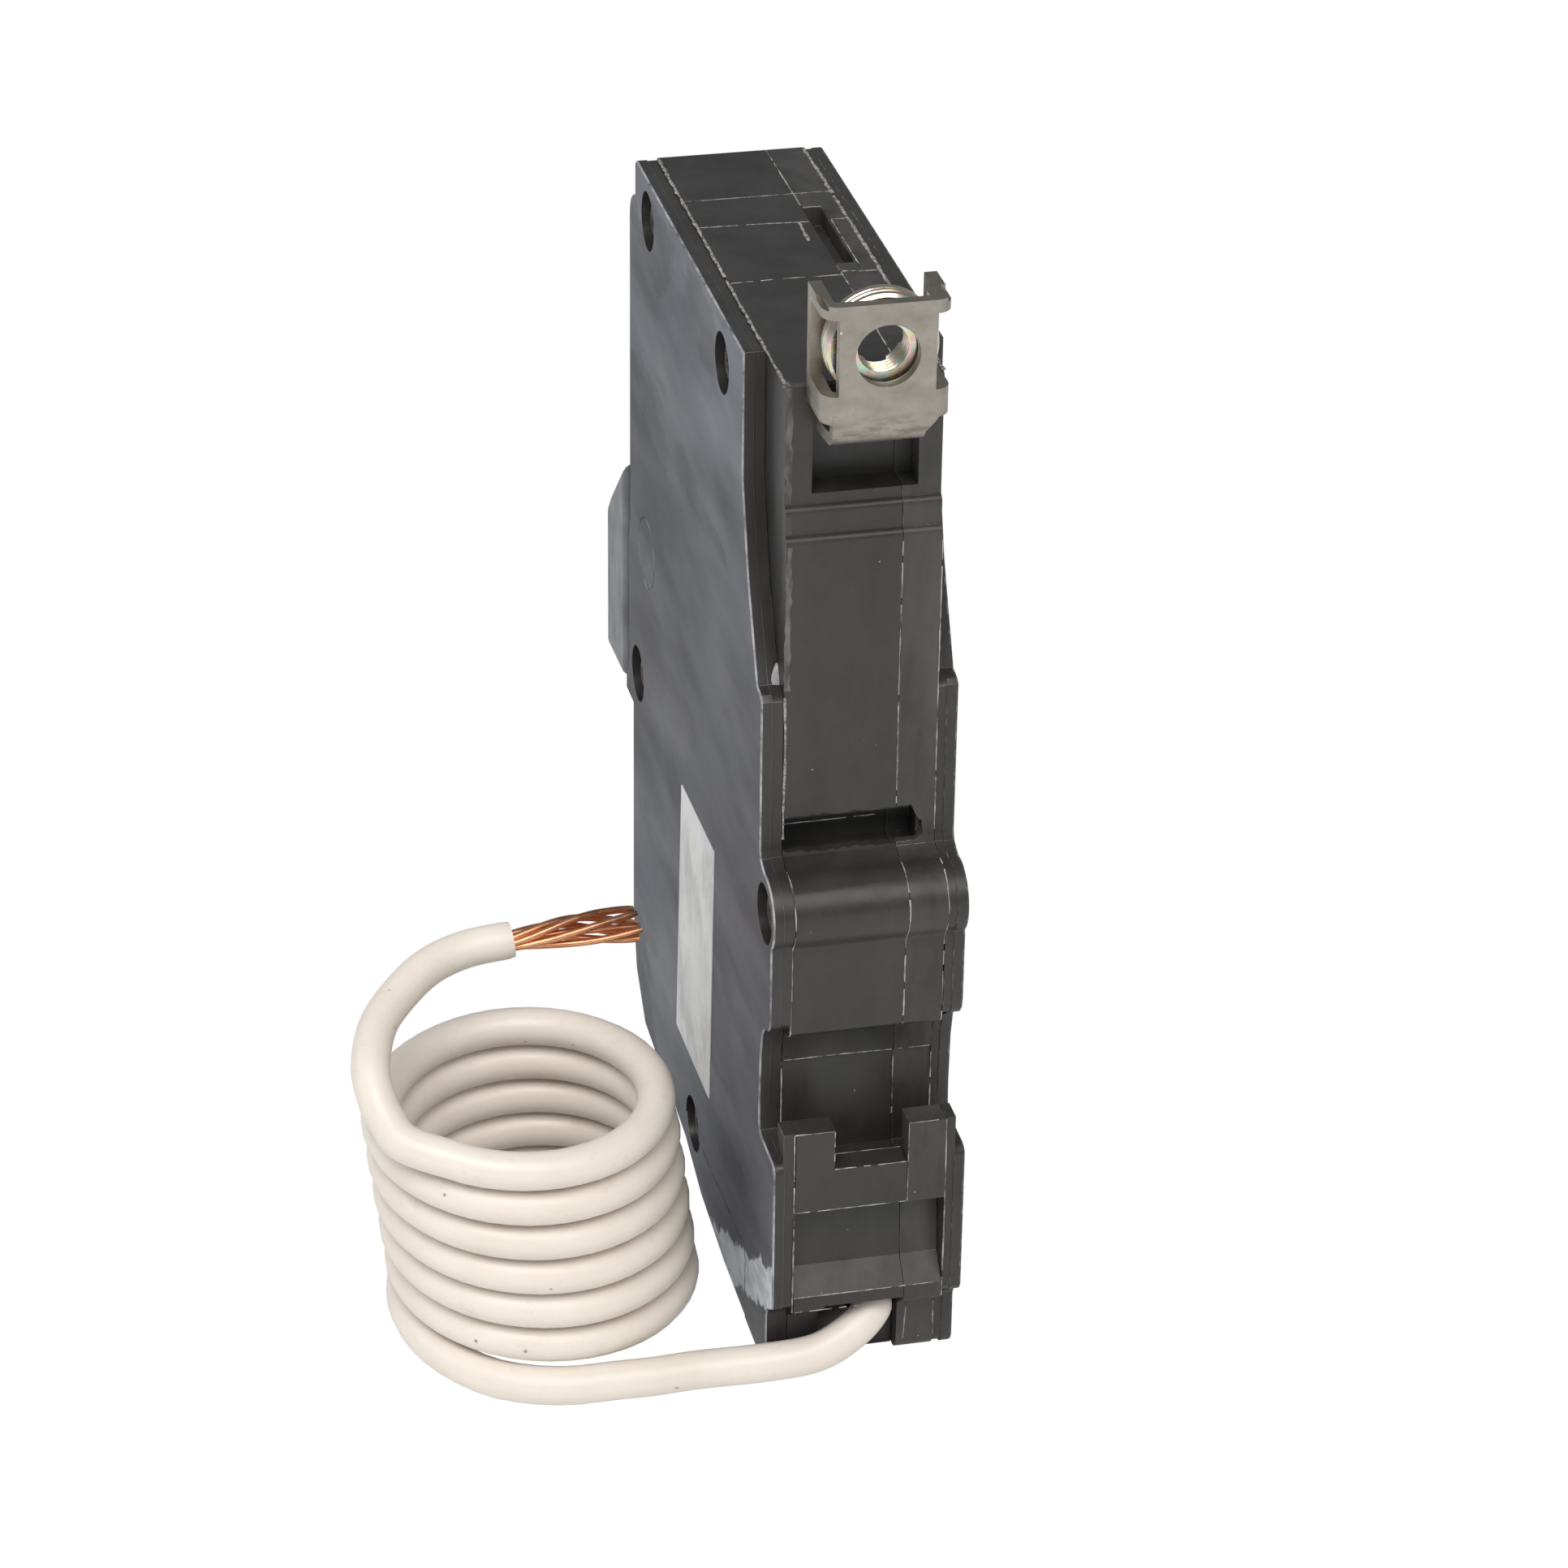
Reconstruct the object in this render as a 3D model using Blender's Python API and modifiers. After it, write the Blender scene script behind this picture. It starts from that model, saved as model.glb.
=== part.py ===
"""A single-pole ground-fault breaker, 19 mm wide, with its neutral lead wound in a coil beside it.

It stands on its load end. Z is up towards the line terminal, +Y faces the handle, -Y faces the mounting rail
and X runs through the thickness. Shapes are drawn in millimetres from a datum near the rear wall, and one
empty, scaled to metres and shifted, carries them all, so that the origin lies under the middle of the breaker.
"""

import math

import bmesh
import bpy
from mathutils import Euler, Matrix, Vector

MM = 0.001

# Thickness of the case, in four layers from left to right, with a hairline seam between them.
CASE_W = 19.05
HALF_W = CASE_W / 2
SEAM = 0.2
SEAM_LEFT, SEAM_MID, SEAM_RIGHT = -7.3, 3.76, 7.54
LAYERS = {
    "left_cover": (-HALF_W, SEAM_LEFT - SEAM / 2),
    "main_case": (SEAM_LEFT + SEAM / 2, SEAM_MID - SEAM / 2),
    "second_case": (SEAM_MID + SEAM / 2, SEAM_RIGHT - SEAM / 2),
    "right_cover": (SEAM_RIGHT + SEAM / 2, HALF_W),
}
WALL = 2.2
DIVIDER = 1.1
NOTCH_WALL = 1.1
COVER_DROP = 0.1

# Heights and depths of the side outline.
CASE_TOP = 102.85
REAR = 2.2
LEDGE = 0.5
FRONT_TOP = 59.9
NOSE = 62.6
NOSE_TOP, NOSE_BOTTOM = 95.7, 41.4
LOWER_FRONT = 60.8
FOOT_REAR = -5.5
FOOT_TOP, FOOT_BOTTOM = 28.35, 7.9
HOOK_BACK = -2.8
HOOK_SIDES = (-8.35, 8.55)
BULGE = (-0.3, 50.3)
BULGE_R = 3.8

# The five rivets, as (depth, height), and their pockets in both covers.
RIVETS = [(53.63, 98.57), (19.8, 98.05), (58.3, 46.05), (-0.35, 50.15), (30.7, 7.75)]
POCKET_R, POCKET_DEPTH = 3.0, 1.4
RIVET_HEAD_R, RIVET_R = 2.3, 1.2
POST_R = 3.1

# Handle: a wide paddle on a narrow stem, turning on a pin.
HANDLE_PIVOT = (42.0, 57.0)
HANDLE_TIP = 76.3
HANDLE_ROOT = 67.3
HANDLE_HALF_W = 9.2
STEM_X = (-4.6, 1.4)

# Line terminal at the top rear: a channel with a captive nut.
CLIP_X, CLIP_Z = 0.45, 107.95
CLIP_HALF_W, CLIP_TOP, CLIP_REAR, CLIP_BACK = 5.95, 113.1, -3.5, 2.9
CLIP_SHEET = 1.2
NUT_R, NUT_BORE_R = 5.3, 2.7

# Contact arm, turning on a pin low in the case. It is drawn closed and then opened by this angle.
ARM_PIVOT = (20.0, 58.0)
ARM_OPEN = 10.0

# Load terminals: depth and height of each wire bore's top, both at this x.
LUG_X = -2.2
HOT_LUG = (52.5, 17.0)
NEUTRAL_LUG = (43.0, 33.0)
WIRE_BORE_R = 3.0
WIRE_OFFSET = -0.9

# Neutral lead: 12 gauge wire. Its solid is drawn a little thin, so that its turns stay apart.
WIRE_D = 3.66
WIRE_LOW = 1.95
COIL_TURNS = 6
COIL_R = 13.6
COIL_PITCH = 4.114
COIL_CENTRE = (-31.6, 10.4)
COIL_LEAN = (0.522, 0.181)
COIL_TILT = 0.064
COIL_TOP = 27.0
LEAD_MEETS_COIL_X = -24.6
GLAND = (1.4, 6.1)

DATUM_Y = -(FOOT_REAR + HANDLE_TIP) / 2

PLASTIC = ((0.022, 0.021, 0.020), 0.42, 0.0)
DARK_PLASTIC = ((0.014, 0.014, 0.015), 0.5, 0.0)
STEEL = ((0.42, 0.39, 0.34), 0.38, 1.0)
ZINC = ((0.60, 0.58, 0.50), 0.3, 1.0)
COPPER = ((0.72, 0.30, 0.14), 0.3, 1.0)
SILVER = ((0.85, 0.84, 0.80), 0.25, 1.0)
BRASS = ((0.72, 0.52, 0.22), 0.35, 1.0)
INSULATION = ((0.78, 0.73, 0.65), 0.35, 0.0)
PAPER = ((0.50, 0.50, 0.48), 0.55, 0.0)
BOARD = ((0.03, 0.16, 0.07), 0.45, 0.0)
TAPE = ((0.55, 0.36, 0.06), 0.5, 0.0)
WHITE_PLASTIC = ((0.75, 0.74, 0.70), 0.4, 0.0)

# World axes that a drawn outline's own X and Y follow, by the axis that it is extruded along.
PLANES = {
    "X": Matrix(((0, 0, 1), (1, 0, 0), (0, 1, 0))).to_4x4(),
    "Y": Matrix(((0, 1, 0), (0, 0, 1), (1, 0, 0))).to_4x4(),
    "Z": Matrix.Identity(4),
}


def clear_scene():
    for obj in list(bpy.data.objects):
        bpy.data.objects.remove(obj)
    for collection in list(bpy.data.collections):
        bpy.data.collections.remove(collection)


def new_collection(name):
    collection = bpy.data.collections.new(name)
    bpy.context.scene.collection.children.link(collection)
    return collection


clear_scene()
PARTS = new_collection("gfci_breaker")
CUTTERS = new_collection("cutters")
CUTTERS.hide_render = True
DATUM = bpy.data.objects.new("datum", None)
DATUM.location = (0, DATUM_Y * MM, 0)
PARTS.objects.link(DATUM)


def place(name, mesh, look=None):
    """Makes a mesh, drawn in millimetres, an object in metres: a part if it has a look, and else a cutter."""
    mesh.transform(Matrix.Scale(MM, 4))
    obj = bpy.data.objects.new(name, mesh)
    obj.parent = DATUM
    if look is None:
        obj.hide_render = True
        obj.display_type = "WIRE"
        CUTTERS.objects.link(obj)
        return obj
    colour, roughness, metallic = look
    material = bpy.data.materials.new(name)
    material.use_nodes = True
    shader = material.node_tree.nodes["Principled BSDF"]
    shader.inputs["Base Color"].default_value = (*colour, 1)
    shader.inputs["Roughness"].default_value = roughness
    shader.inputs["Metallic"].default_value = metallic
    mesh.materials.clear()
    mesh.materials.append(material)
    PARTS.objects.link(obj)
    return obj


def mesh_of_curve(curve, matrix=Matrix.Identity(4)):
    """The closed mesh of a curve, with its caps welded on."""
    guide = bpy.data.objects.new("guide", curve)
    bpy.context.scene.collection.objects.link(guide)
    bpy.context.view_layer.update()
    evaluated = guide.evaluated_get(bpy.context.evaluated_depsgraph_get())
    mesh = bpy.data.meshes.new_from_object(evaluated)
    bpy.data.objects.remove(guide)
    shape = bmesh.new()
    shape.from_mesh(mesh)
    bmesh.ops.remove_doubles(shape, verts=shape.verts, dist=0.001)
    bmesh.ops.recalc_face_normals(shape, faces=shape.faces)
    shape.to_mesh(mesh)
    shape.free()
    mesh.transform(matrix)
    return mesh


def plate(name, outline, low, high, look=None, axis="X"):
    """A flat piece: an outline in the plane square to an axis, from low to high along it."""
    curve = bpy.data.curves.new(name, "CURVE")
    curve.dimensions = "2D"
    curve.fill_mode = "BOTH"
    curve.extrude = (high - low) / 2
    spline = curve.splines.new("POLY")
    spline.points.add(len(outline) - 1)
    for point, (u, v) in zip(spline.points, outline):
        point.co = (u, v, 0, 1)
    spline.use_cyclic_u = True
    matrix = PLANES[axis] @ Matrix.Translation((0, 0, (low + high) / 2))
    return place(name, mesh_of_curve(curve, matrix), look)


def block(name, low, high, look=None):
    """A box between two corners."""
    shape = bmesh.new()
    middle = [(a + b) / 2 for a, b in zip(low, high)]
    size = Matrix.Diagonal([b - a for a, b in zip(low, high)] + [1])
    bmesh.ops.create_cube(shape, size=1, matrix=Matrix.Translation(middle) @ size)
    mesh = bpy.data.meshes.new(name)
    shape.to_mesh(mesh)
    shape.free()
    return place(name, mesh, look)


def rod(name, axis, centre, low, high, radius, look=None, sides=20):
    """A cylinder along an axis. Its centre gives the other two places, in the order of the plane's outline."""
    shape = bmesh.new()
    matrix = PLANES[axis] @ Matrix.Translation((centre[0], centre[1], (low + high) / 2))
    bmesh.ops.create_cone(
        shape, cap_ends=True, segments=sides, radius1=radius, radius2=radius, depth=high - low, matrix=matrix
    )
    mesh = bpy.data.meshes.new(name)
    shape.to_mesh(mesh)
    shape.free()
    return place(name, mesh, look)


def tube(name, points, diameter, look, resolution=2):
    """A round wire along a row of points."""
    curve = bpy.data.curves.new(name, "CURVE")
    curve.dimensions = "3D"
    curve.bevel_depth = diameter / 2
    curve.bevel_resolution = resolution
    curve.use_fill_caps = True
    spline = curve.splines.new("POLY")
    spline.points.add(len(points) - 1)
    for point, place_mm in zip(spline.points, points):
        point.co = (*place_mm, 1)
    obj = place(name, mesh_of_curve(curve), look)
    obj.data.shade_smooth()
    return obj


def boolean(obj, others, operation):
    for other in others:
        modifier = obj.modifiers.new(other.name, "BOOLEAN")
        modifier.operation = operation
        modifier.object = other
    return obj


def cut(obj, *cutters):
    return boolean(obj, cutters, "DIFFERENCE")


def join(obj, *others):
    return boolean(obj, others, "UNION")


def put_origin(obj, x, y, z):
    """Moves an object's origin to a point in the drawing, such as one on its joint's axis."""
    point = Vector((x, y, z)) * MM
    obj.data.transform(Matrix.Translation(-point))
    obj.location = point


def arc(centre, radius, start, end, steps):
    angles = [math.radians(start + (end - start) * i / steps) for i in range(steps + 1)]
    return [(centre[0] + radius * math.cos(a), centre[1] + radius * math.sin(a)) for a in angles]


def smooth_path(knots, per_span):
    """Points on a Catmull-Rom curve through the knots."""
    knots = [Vector(knot) for knot in knots]
    padded = [2 * knots[0] - knots[1], *knots, 2 * knots[-1] - knots[-2]]
    points = []
    for a, b, c, d in zip(padded, padded[1:], padded[2:], padded[3:]):
        for step in range(per_span):
            t = step / per_span
            points.append(
                0.5 * (2 * b + (c - a) * t + (2 * a - 5 * b + 4 * c - d) * t**2 + (3 * b - a - 3 * c + d) * t**3)
            )
    return points + [knots[-1]]


def front_edge(inset=0.0, drop=0.0):
    """The front of the side view, from the top down to the load end, set in and down a little for a cover."""
    return [
        (FRONT_TOP - 0.4 - inset, CASE_TOP - drop),
        (FRONT_TOP - inset, CASE_TOP - 0.4 - drop),
        (FRONT_TOP - inset, 98.7),
        (NOSE - 1.0 - inset, 98.2),
        (NOSE - 0.3 - inset, 97.2),
        (NOSE - inset, NOSE_TOP),
        (NOSE - inset, 62.0),
        (NOSE + 0.5 - inset, 60.0),
        (NOSE + 0.5 - inset, 45.5),
        (NOSE + 1.8 - inset, 43.2),
        (NOSE + 1.8 - inset, NOSE_BOTTOM),
        (LOWER_FRONT - inset, NOSE_BOTTOM),
        (LOWER_FRONT - inset, 16.5),
        (LOWER_FRONT - 1.6 - inset, 10.2),
    ]


def bulge_profile():
    return arc(BULGE, BULGE_R, 228, 78, 8)


def main_outline():
    base = [(56.0, 2.6), (50.0, 0.0)]
    rear = [
        (-0.6, 0.0),
        (-1.9, 0.4),
        (-2.8, 1.6),
        (-2.8, FOOT_BOTTOM - 2.0),
        (FOOT_REAR, FOOT_BOTTOM),
        (FOOT_REAR, 9.6),
        (-3.4, 12.0),
        (HOOK_BACK, 19.4),
        (FOOT_REAR, 19.4),
        (FOOT_REAR, FOOT_TOP),
        (HOOK_BACK, FOOT_TOP),
        (HOOK_BACK, 22.5),
        (1.0, 22.5),
        (1.4, 32.6),
        (0.6, 35.4),
        (-2.3, 37.0),
    ]
    upper = [
        (REAR, 54.6),
        (REAR, 87.2),
        (REAR + LEDGE, 87.9),
        (REAR + LEDGE, 90.0),
        (REAR + 2 * LEDGE, 90.7),
        (REAR + 2 * LEDGE, CASE_TOP),
    ]
    return front_edge() + base + rear + bulge_profile() + upper


def cover_outline():
    base = [(54.5, 5.8), (34.6, 3.9), (27.0, 1.6), (16.2, 0.35), (3.3, 0.0)]
    rear = [
        (-0.6, 0.0),
        (-1.9, 0.4),
        (-2.8, 1.6),
        (-2.8, 6.2),
        (-3.4, 7.3),
        (FOOT_REAR, FOOT_BOTTOM + 0.6),
        (FOOT_REAR, 23.6),
        (-5.2, 24.5),
        (-4.3, 24.9),
        (0.8, 25.0),
        (1.2, 26.2),
        (1.25, 28.4),
        (0.9, 33.8),
        (-0.05, 37.2),
        (-2.9, 39.2),
    ]
    upper = [(REAR, 54.6), (REAR, 71.7), (4.3, 72.0), (8.5, 81.2), (11.2, 90.0), (11.2, CASE_TOP - COVER_DROP)]
    return front_edge(0.1, COVER_DROP) + base + rear + bulge_profile() + upper


CAVITY = [
    (7.8, 100.2),
    (55.6, 100.2),
    (57.0, 97.4),
    (NOSE - WALL, 94.4),
    (NOSE - WALL, 43.6),
    (LOWER_FRONT - WALL, 41.0),
    (LOWER_FRONT - WALL, 17.0),
    (56.4, 11.8),
    (53.2, 8.2),
    (34.2, 6.2),
    (26.4, 3.9),
    (16.0, 2.7),
    (3.6, 2.7),
    (3.6, 33.0),
    (1.6, 38.0),
    (1.6, 45.0),
    (5.0, 52.0),
    (7.6, 53.0),
    (7.6, 61.5),
    (5.0, 62.5),
    (5.0, 90.2),
    (7.8, 91.5),
]


def cavity_cutter(name, low, high, wall):
    """The hollow inside a case layer, with the rivet posts and the thin wall in the cover's notch left standing."""
    cutter = plate(name, CAVITY, low, high)
    cut(cutter, block(f"{name}_notch_wall", (wall[0], -1, 70.5), (wall[1], 12.6, 101)))
    posts = [
        rod(f"{name}_post_{i}", "X", rivet, low - 1, high + 1, POST_R, sides=16) for i, rivet in enumerate(RIVETS)
    ]
    return cut(cutter, *posts)


def rivet_bores(name, low, high):
    return [
        rod(f"{name}_rivet_bore_{i}", "X", rivet, low - 1, high + 1, RIVET_R + 0.25, sides=12)
        for i, rivet in enumerate(RIVETS)
    ]


def make_case():
    """The two middle layers, hollow, with the foot's hook and pocket, the terminal window and the rear slot."""
    low, high = LAYERS["main_case"]
    main = plate("main_case", main_outline(), low, high, PLASTIC)
    cut(main, cavity_cutter("main_cavity", low - 1, high - DIVIDER, (low - 2, low + NOTCH_WALL)), *rivet_bores("main", low, high))
    cut(
        main,
        block("hook_notch", (-3.4, -9, 24.0), (high + 1, 1.0, 32)),
        block("rear_slot", (low - 1, -1, 55.1), (high + 1, 3.5, 59.0)),
        block("slot_pit", (low - 1, 2.9, 53.9), (high + 1, 6.2, 59.0)),
        block("window", (-4.8, -1, 91.8), (high + 1, 6.4, 100.2)),
        block("strap_slot", (-3.7, 5, 97.8), (high - DIVIDER, 9, 99.9)),
        block("lead_channel", (-4.2, -9, -1), (high + 1, -0.9, 8.3)),
        rod("lead_bore", "Y", (GLAND[1], GLAND[0]), -2, 5, 2.6, sides=16),
        block("handle_slot", (STEM_X[0] - 0.5, 58, 51.2), (STEM_X[1] + 0.5, 70, 67.2)),
        block("button_slot", (-5.0, 58, 79.6), (1.8, 70, 88.4)),
    )
    for name, (y, z) in {"hot": HOT_LUG, "neutral": NEUTRAL_LUG}.items():
        cut(
            main,
            rod(f"{name}_screw_well", "Y", (z, LUG_X), 55, 66, 3.0, sides=16),
            rod(f"{name}_wire_entry", "Z", (LUG_X, y + WIRE_OFFSET), -1, 9.5, WIRE_BORE_R, sides=16),
        )
    low, high = LAYERS["second_case"]
    second = plate("second_case", main_outline(), low, high, PLASTIC)
    cut(second, cavity_cutter("second_cavity", low - 1, high + 1, (high - NOTCH_WALL, high + 2)), *rivet_bores("second", low, high))
    cut(
        second,
        block("rear_slot_2", (low - 1, -1, 55.1), (6.1, 3.5, 59.0)),
        block("slot_pit_2", (low - 1, 2.9, 53.9), (6.1, 6.2, 59.0)),
        block("window_2", (low - 1, -1, 91.8), (5.3, 6.4, 100.2)),
        block("tool_slot", (low - 1, 30.0, 101.0), (5.6, 43.8, 104)),
    )


def make_covers():
    """Left and right covers with their rivet pockets, and the printed label let into the left one."""
    for name, outer, side in (("left_cover", -HALF_W, HOOK_SIDES[0]), ("right_cover", HALF_W, HOOK_SIDES[1])):
        low, high = LAYERS[name]
        cover = plate(name, cover_outline(), low, high, PLASTIC)
        near = high - 0.03 if outer < 0 else low + 0.03
        hook_low, hook_high = sorted((side, near))
        join(cover, block(f"{name}_hook", (hook_low, FOOT_REAR + 0.03, 22), (hook_high, HOOK_BACK, FOOT_TOP)))
        inner = outer - math.copysign(POCKET_DEPTH, outer)
        far = outer + math.copysign(1, outer)
        pockets = [
            rod(f"{name}_pocket_{i}", "X", rivet, min(inner, far), max(inner, far), POCKET_R, sides=24)
            for i, rivet in enumerate(RIVETS)
        ]
        cut(cover, *pockets, *rivet_bores(name, low, high))
    label = [(21.2, 45.0), (22.6, 15.6), (38.3, 15.3), (36.4, 44.6)]
    plate("side_label", label, -HALF_W, -HALF_W + 0.15, PAPER)
    middle = Vector((sum(y for y, _ in label) / 4, sum(z for _, z in label) / 4))
    recess = [tuple(middle + (Vector(corner) - middle) * 1.04) for corner in label]
    cut(bpy.data.objects["left_cover"], plate("label_recess", recess, -HALF_W - 1, -HALF_W + 0.4))


def make_rivets():
    """Tubular rivets through all four layers, with a head in each cover's pocket."""
    face = HALF_W - POCKET_DEPTH
    for i, rivet in enumerate(RIVETS):
        shank = rod(f"rivet_{i + 1}", "X", rivet, -face - 0.5, face + 0.5, RIVET_R, STEEL, sides=12)
        for side in (-1, 1):
            low, high = sorted((side * (face + 0.15), side * (face + 0.8)))
            join(shank, rod(f"rivet_{i + 1}_head_{side}", "X", rivet, low, high, RIVET_HEAD_R, sides=16))
            low, high = sorted((side * (face - 0.6), side * (face + 2)))
            cut(shank, rod(f"rivet_{i + 1}_eye_{side}", "X", rivet, low, high, 0.7, sides=10))


def make_handle():
    """Paddle, stem and hub in one moulding, on a steel pin."""
    y, z = HANDLE_PIVOT
    paddle = [
        (HANDLE_ROOT, 41.0),
        (HANDLE_TIP, 40.7),
        (HANDLE_TIP, 57.0),
        (HANDLE_ROOT, 66.0),
    ]
    handle = plate("handle", paddle, -HANDLE_HALF_W, HANDLE_HALF_W, DARK_PLASTIC)
    bevel = handle.modifiers.new("edges", "BEVEL")
    bevel.width = 0.7 * MM
    bevel.segments = 2
    bevel.limit_method = "ANGLE"
    stem = [(y, z - 3.6), (HANDLE_ROOT + 1, 52.0), (HANDLE_ROOT + 1, 59.4), (y, z + 3.6)]
    join(
        handle,
        plate("handle_stem", stem, *STEM_X),
        rod("handle_hub", "X", HANDLE_PIVOT, STEM_X[0] - 1.4, STEM_X[1] + 0.4, 5.0, sides=24),
    )
    cut(handle, rod("handle_bore", "X", HANDLE_PIVOT, -12, 6, 1.7, sides=16))
    put_origin(handle, 0, y, z)
    rod("handle_pin", "X", HANDLE_PIVOT, -7.0, 2.2, 1.35, STEEL, sides=16)


def make_line_terminal():
    """Channel-shaped line clip with its strap into the case, the captive nut and the fixed contact."""
    left, right = CLIP_X - CLIP_HALF_W, CLIP_X + CLIP_HALF_W
    inner = CLIP_REAR + CLIP_SHEET
    section = [
        (left, CLIP_BACK),
        (left, CLIP_REAR + 1.2),
        (left + 0.35, CLIP_REAR + 0.35),
        (left + 1.2, CLIP_REAR),
        (right - 1.2, CLIP_REAR),
        (right - 0.35, CLIP_REAR + 0.35),
        (right, CLIP_REAR + 1.2),
        (right, CLIP_BACK),
        (right - CLIP_SHEET, CLIP_BACK),
        (right - CLIP_SHEET, inner + 0.3),
        (right - CLIP_SHEET - 0.3, inner),
        (left + CLIP_SHEET + 0.3, inner),
        (left + CLIP_SHEET, inner + 0.3),
        (left + CLIP_SHEET, CLIP_BACK),
    ]
    clip = plate("line_clip", section, 101.4, CLIP_TOP, STEEL, axis="Z")
    bend = [
        (CLIP_REAR, 102.5),
        (CLIP_REAR, 100.4),
        (CLIP_REAR + 0.5, 99.0),
        (CLIP_REAR + 1.7, 98.3),
        (3.5, 98.3),
        (3.5, 99.5),
        (CLIP_REAR + 2.1, 99.5),
        (inner, 100.4),
        (inner, 102.5),
    ]
    strap = [(3.0, 98.3), (13.0, 98.3), (13.0, 86.0), (14.2, 86.0), (14.2, 99.5), (3.0, 99.5)]
    join(
        clip,
        plate("clip_bend", bend, CLIP_X - 4.4, CLIP_X + 4.0),
        plate("clip_strap", strap, -3.3, 2.2),
    )
    cut(
        clip,
        rod("clip_hole", "Y", (CLIP_Z, CLIP_X), -6, 0, 3.05, sides=24),
        block("clip_window", (-12, inner + 0.3, CLIP_Z - 4.0), (12, CLIP_BACK - 1.1, CLIP_Z + 3.9)),
    )
    nut = rod("line_nut", "Y", (CLIP_Z, CLIP_X), inner + 0.6, 0.7, NUT_R, ZINC, sides=32)
    join(nut, rod("nut_hub", "Y", (CLIP_Z, CLIP_X), inner + 0.9, 1.8, 4.3, sides=24))
    cut(nut, rod("nut_bore", "Y", (CLIP_Z, CLIP_X), -6, 6, NUT_BORE_R, sides=24))
    for side in (0, 1):
        driver = block(f"nut_driver_{side}", (-1.0, 0.6, -9), (1.0, 4.0, 9))
        driver.location = Vector((CLIP_X, 0, CLIP_Z)) * MM
        driver.rotation_euler = Euler((0, side * math.pi / 2, 0))
        cut(nut, driver)
    put_origin(nut, CLIP_X, 0, CLIP_Z)
    rod("fixed_contact", "Y", (90.0, -2.1), 14.5, 15.5, 2.2, SILVER, sides=16)


def make_contact_arm():
    """The arm that carries the moving contact, drawn closed and then opened on its pin."""
    y, z = ARM_PIVOT
    profile = [(y - 3.0, z), *arc(ARM_PIVOT, 3.0, 180, 360, 8), (y + 1.2, 92.0), (y - 1.4, 92.0)]
    arm = plate("contact_arm", profile[1:], -3.3, -0.9, COPPER)
    cut(arm, rod("arm_bore", "X", ARM_PIVOT, -9, 9, 1.5, sides=16))
    tip = rod("moving_contact", "Y", (90.0, -2.1), 16.0, 18.0, 2.1, SILVER, sides=16)
    for piece in (arm, tip):
        put_origin(piece, 0, y, z)
        piece.rotation_euler = Euler((math.radians(-ARM_OPEN), 0, 0))
    rod("arm_pin", "X", ARM_PIVOT, -6.9, 2.2, 1.15, STEEL, sides=12)
    coil_spring("toggle_spring", (-5.2, 27.2, 60.5), (-5.2, 36.0, 59.0), 1.1, 0.5, 7)


def coil_spring(name, start, end, radius, wire, turns):
    """A wire spring wound about the line between two points."""
    start, end = Vector(start), Vector(end)
    along = (end - start).normalized()
    across = along.orthogonal().normalized()
    other = along.cross(across)
    points = []
    for i in range(turns * 8 + 1):
        angle = math.tau * i / 8
        centre = start.lerp(end, i / (turns * 8))
        points.append(centre + radius * (math.cos(angle) * across + math.sin(angle) * other))
    return tube(name, points, wire, STEEL, resolution=1)


def make_trip_unit():
    """Bimetal, magnet yoke and armature, the calibration screw, the trip lever and the flexible braid."""
    block("bimetal", (-3.4, 29.2, 24.0), (-0.4, 30.0, 52.0), BRASS)
    yoke = plate(
        "magnet_yoke",
        [(-5.6, 32.4), (-5.6, 26.4), (1.8, 26.4), (1.8, 32.4), (0.6, 32.4), (0.6, 27.6), (-4.4, 27.6), (-4.4, 32.4)],
        33.0,
        44.0,
        STEEL,
        axis="Z",
    )
    put_origin(yoke, -1.9, 27.0, 38.5)
    armature = block("armature", (-5.4, 34.2, 30.6), (1.6, 35.2, 46.0), STEEL)
    join(armature, rod("armature_hinge", "X", (34.7, 30.6), -5.4, 1.6, 0.9, sides=12))
    put_origin(armature, -1.9, 34.7, 30.6)
    rod("calibration_screw", "Y", (49.5, -1.9), 22.0, 28.6, 1.0, BRASS, sides=12)
    lever = plate(
        "trip_lever",
        [(31.0, 85.2), (35.0, 85.2), (51.0, 87.2), (51.0, 89.2), (35.0, 90.4), (31.0, 90.4)],
        -3.4,
        -0.8,
        STEEL,
    )
    cut(lever, rod("lever_bore", "X", (33.0, 87.8), -9, 9, 1.2, sides=12))
    put_origin(lever, 0, 33.0, 87.8)
    rod("lever_pin", "X", (33.0, 87.8), -6.9, 2.2, 0.9, STEEL, sides=12)
    braid = [(0.9, 22.4, 63.5), (1.0, 26.5, 60.5), (0.6, 29.0, 56.0), (-1.9, 29.6, 53.4)]
    tube("flexible_braid", smooth_path(braid, 4), 1.6, COPPER, resolution=1)
    plate("load_strap", [(27.0, 18.5), (47.6, 18.5), (47.6, 22.5), (27.0, 22.5)], 1.0, 2.0, COPPER)


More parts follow.
